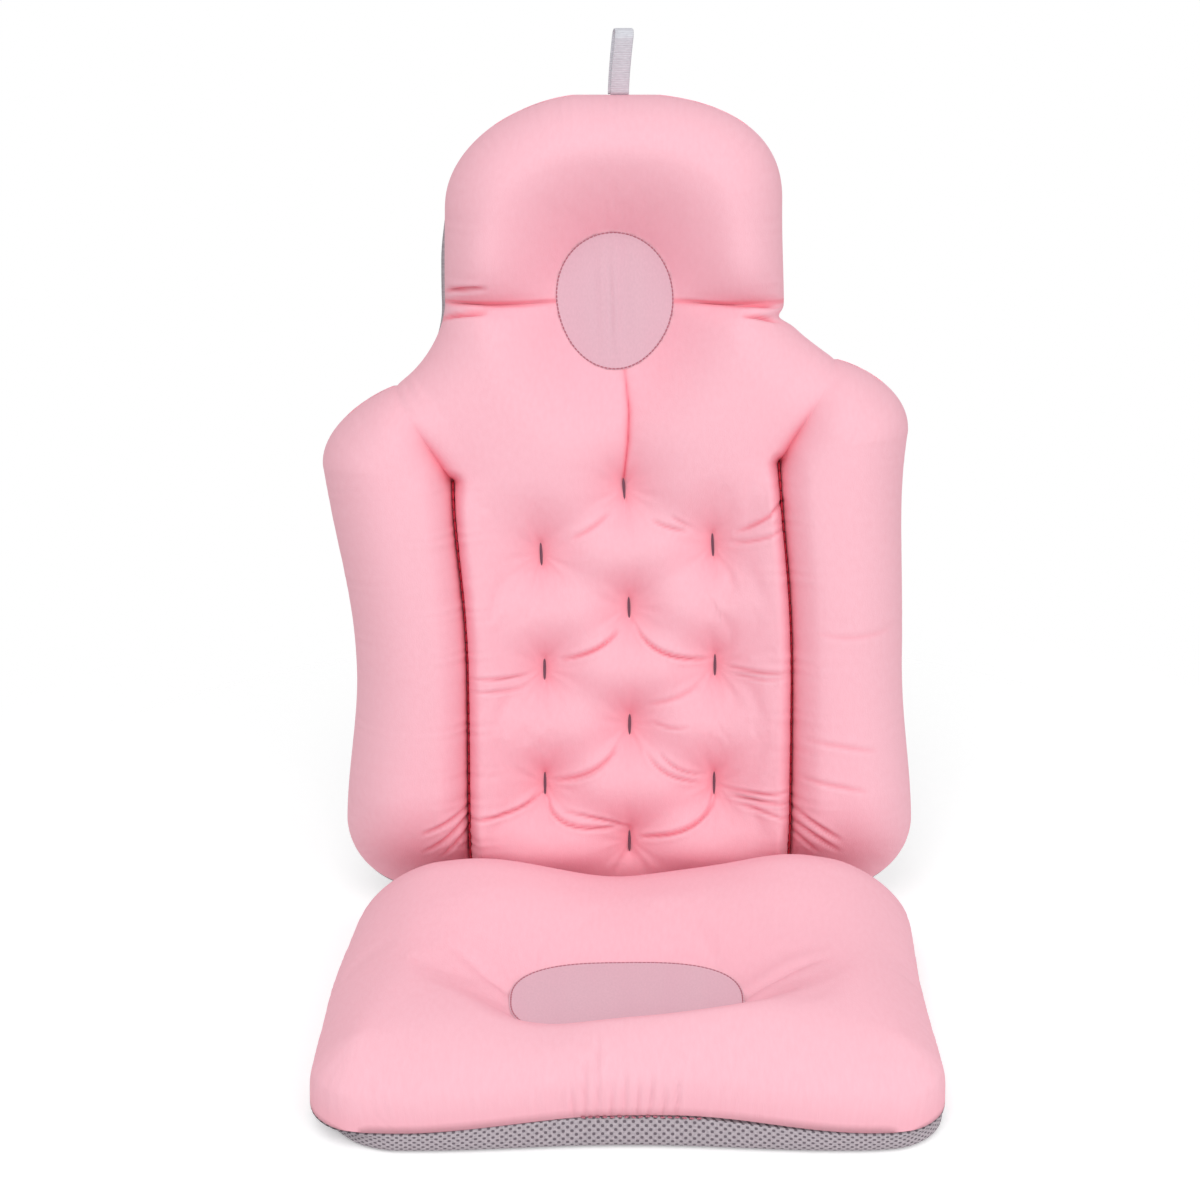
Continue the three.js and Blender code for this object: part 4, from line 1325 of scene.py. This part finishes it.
neck_start = plan_point(0.0, NECK - 25)
neck_end = plan_point(0.0, NECK + 25)
for piece, nodes in (
    (pillow_front, ["back_cover", "back_filling", "head_cover", "head_filling"]),
    (pillow_rear, ["back_mesh", "head_mesh"]),
    (nape_patch, ["nape_patch_lower", "nape_patch_upper"]),
    (nape_stitches, []),
    (left_neck_stitches, ["left_neck_seam"]),
    (right_neck_stitches, ["right_neck_seam"]),
):
    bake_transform(piece)
    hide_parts(*nodes)

for side, sign, front, rear in (
    ("left_bolster", -1, left_bolster_front, left_bolster_rear),
    ("right_bolster", 1, right_bolster_front, right_bolster_rear),
):
    start = plan_point(sign * SEAM, SEAM_TOP)
    end = plan_point(sign * (SEAM + 44), SEAM_TOP - 25)
    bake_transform(front)
    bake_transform(rear)
    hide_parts(f"{side}_cover", f"{side}_filling")
    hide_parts(f"{side}_mesh")

for piece, body, nodes in (
    (seat_top, "seat", ["seat_cover", "seat_filling"]),
    (seat_base, "seat", ["seat_mesh"]),
    (seat_patch, "seat", ["seat_patch"]),
    (seat_patch_stitches, "seat", []),
    (seat_front_stitches, "seat", []),
    (fold_roll, "seat", ["fold_seam"]),
    (tack_bars, "back", [f"bar_tack_{k}" for k in range(1, 11)]),
    (left_side_stitches, "back", ["left_side_seam"]),
    (right_side_stitches, "back", ["right_side_seam"]),
    (ribbon_loop, "loop", ["hang_loop"]),
):
    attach(piece, body)
    if nodes:
        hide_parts(*nodes)

# Stage, light and camera

WORLD_LIGHT = 0.60
KEY_WATTS = 16.5
FILL_WATTS = 13
CAMERA_RISE = math.radians(24)
CAMERA_AWAY = 1.7
CAMERA_LENS = 85.5


def stage_floor():
    """A pale floor that keeps the shadow and fades out to the white background."""
    points = np.array([[-9, -9, 0], [9, -9, 0], [9, 9, 0], [-9, 9, 0]], float)
    floor = mesh_object("floor", points, [[0, 1, 2, 3]], points[:, :2])
    paint = Nodes("floor_white", 1.0)
    speck = paint.level(paint.noise(3, 1), 0.3, 0.7)
    paint.colour(paint.mix(speck, (0.93, 0.93, 0.93, 1), (0.95, 0.95, 0.95, 1)))
    seen = paint.add("ShaderNodeLightPath").outputs["Is Camera Ray"]
    paint.shader.inputs["Emission Color"].default_value = (1, 1, 1, 1)
    paint.feed(paint.shader.inputs["Emission Strength"], paint.math("MULTIPLY", seen, 0.3))
    centre = paint.add("ShaderNodeVectorMath", Vector=paint.cloth_place())
    centre.operation = "LENGTH"
    fade = paint.level(centre.outputs["Value"], 0.62, 0.3)
    paint.feed(paint.shader.inputs["Alpha"], fade)
    floor.data.materials.append(paint.material)


def area_light(name, place, target, size, power):
    """A round soft light that faces its target."""
    data = bpy.data.lights.new(name, "AREA")
    data.shape = "DISK"
    data.size = size
    data.energy = power
    light = bpy.data.objects.new(name, data)
    light.location = place
    toward = np.array(target) - np.array(place)
    pitch = math.atan2(math.hypot(toward[0], toward[1]), -toward[2])
    light.rotation_euler = (pitch, 0, math.atan2(-toward[0], toward[1]))
    bpy.context.scene.collection.objects.link(light)


def studio():
    """Soft light from all round, white to the camera, with a key light above and a fill at the right."""
    world = bpy.data.worlds.new("studio")
    world.use_nodes = True
    sky = world.node_tree.nodes["Background"]
    sky.inputs["Color"].default_value = (1, 1, 1, 1)
    seen = world.node_tree.nodes.new("ShaderNodeLightPath").outputs["Is Camera Ray"]
    strength = world.node_tree.nodes.new("ShaderNodeMapRange")
    strength.inputs["To Min"].default_value = WORLD_LIGHT
    strength.inputs["To Max"].default_value = 1.0
    world.node_tree.links.new(seen, strength.inputs["Value"])
    world.node_tree.links.new(strength.outputs[0], sky.inputs["Strength"])
    bpy.context.scene.world = world
    middle = (0, 0.1, 0.22)
    area_light("key", (-0.4, -1.2, 2.0), middle, 1.6, KEY_WATTS)
    area_light("fill", (1.4, -1.5, 1.2), middle, 1.8, FILL_WATTS)


def camera():
    """The photograph's view: square on, from a little above, at the middle of the back."""
    target = leaning(-18, 196, 30)
    data = bpy.data.cameras.new("camera")
    data.lens = CAMERA_LENS
    data.sensor_width = 36
    view = bpy.data.objects.new("camera", data)
    view.location = target + CAMERA_AWAY * np.array([0, -math.cos(CAMERA_RISE), math.sin(CAMERA_RISE)])
    view.rotation_euler = (math.pi / 2 - CAMERA_RISE, 0, 0)
    bpy.context.scene.collection.objects.link(view)
    bpy.context.scene.camera = view


stage_floor()
studio()
camera()
bpy.context.scene.view_settings.view_transform = "Standard"
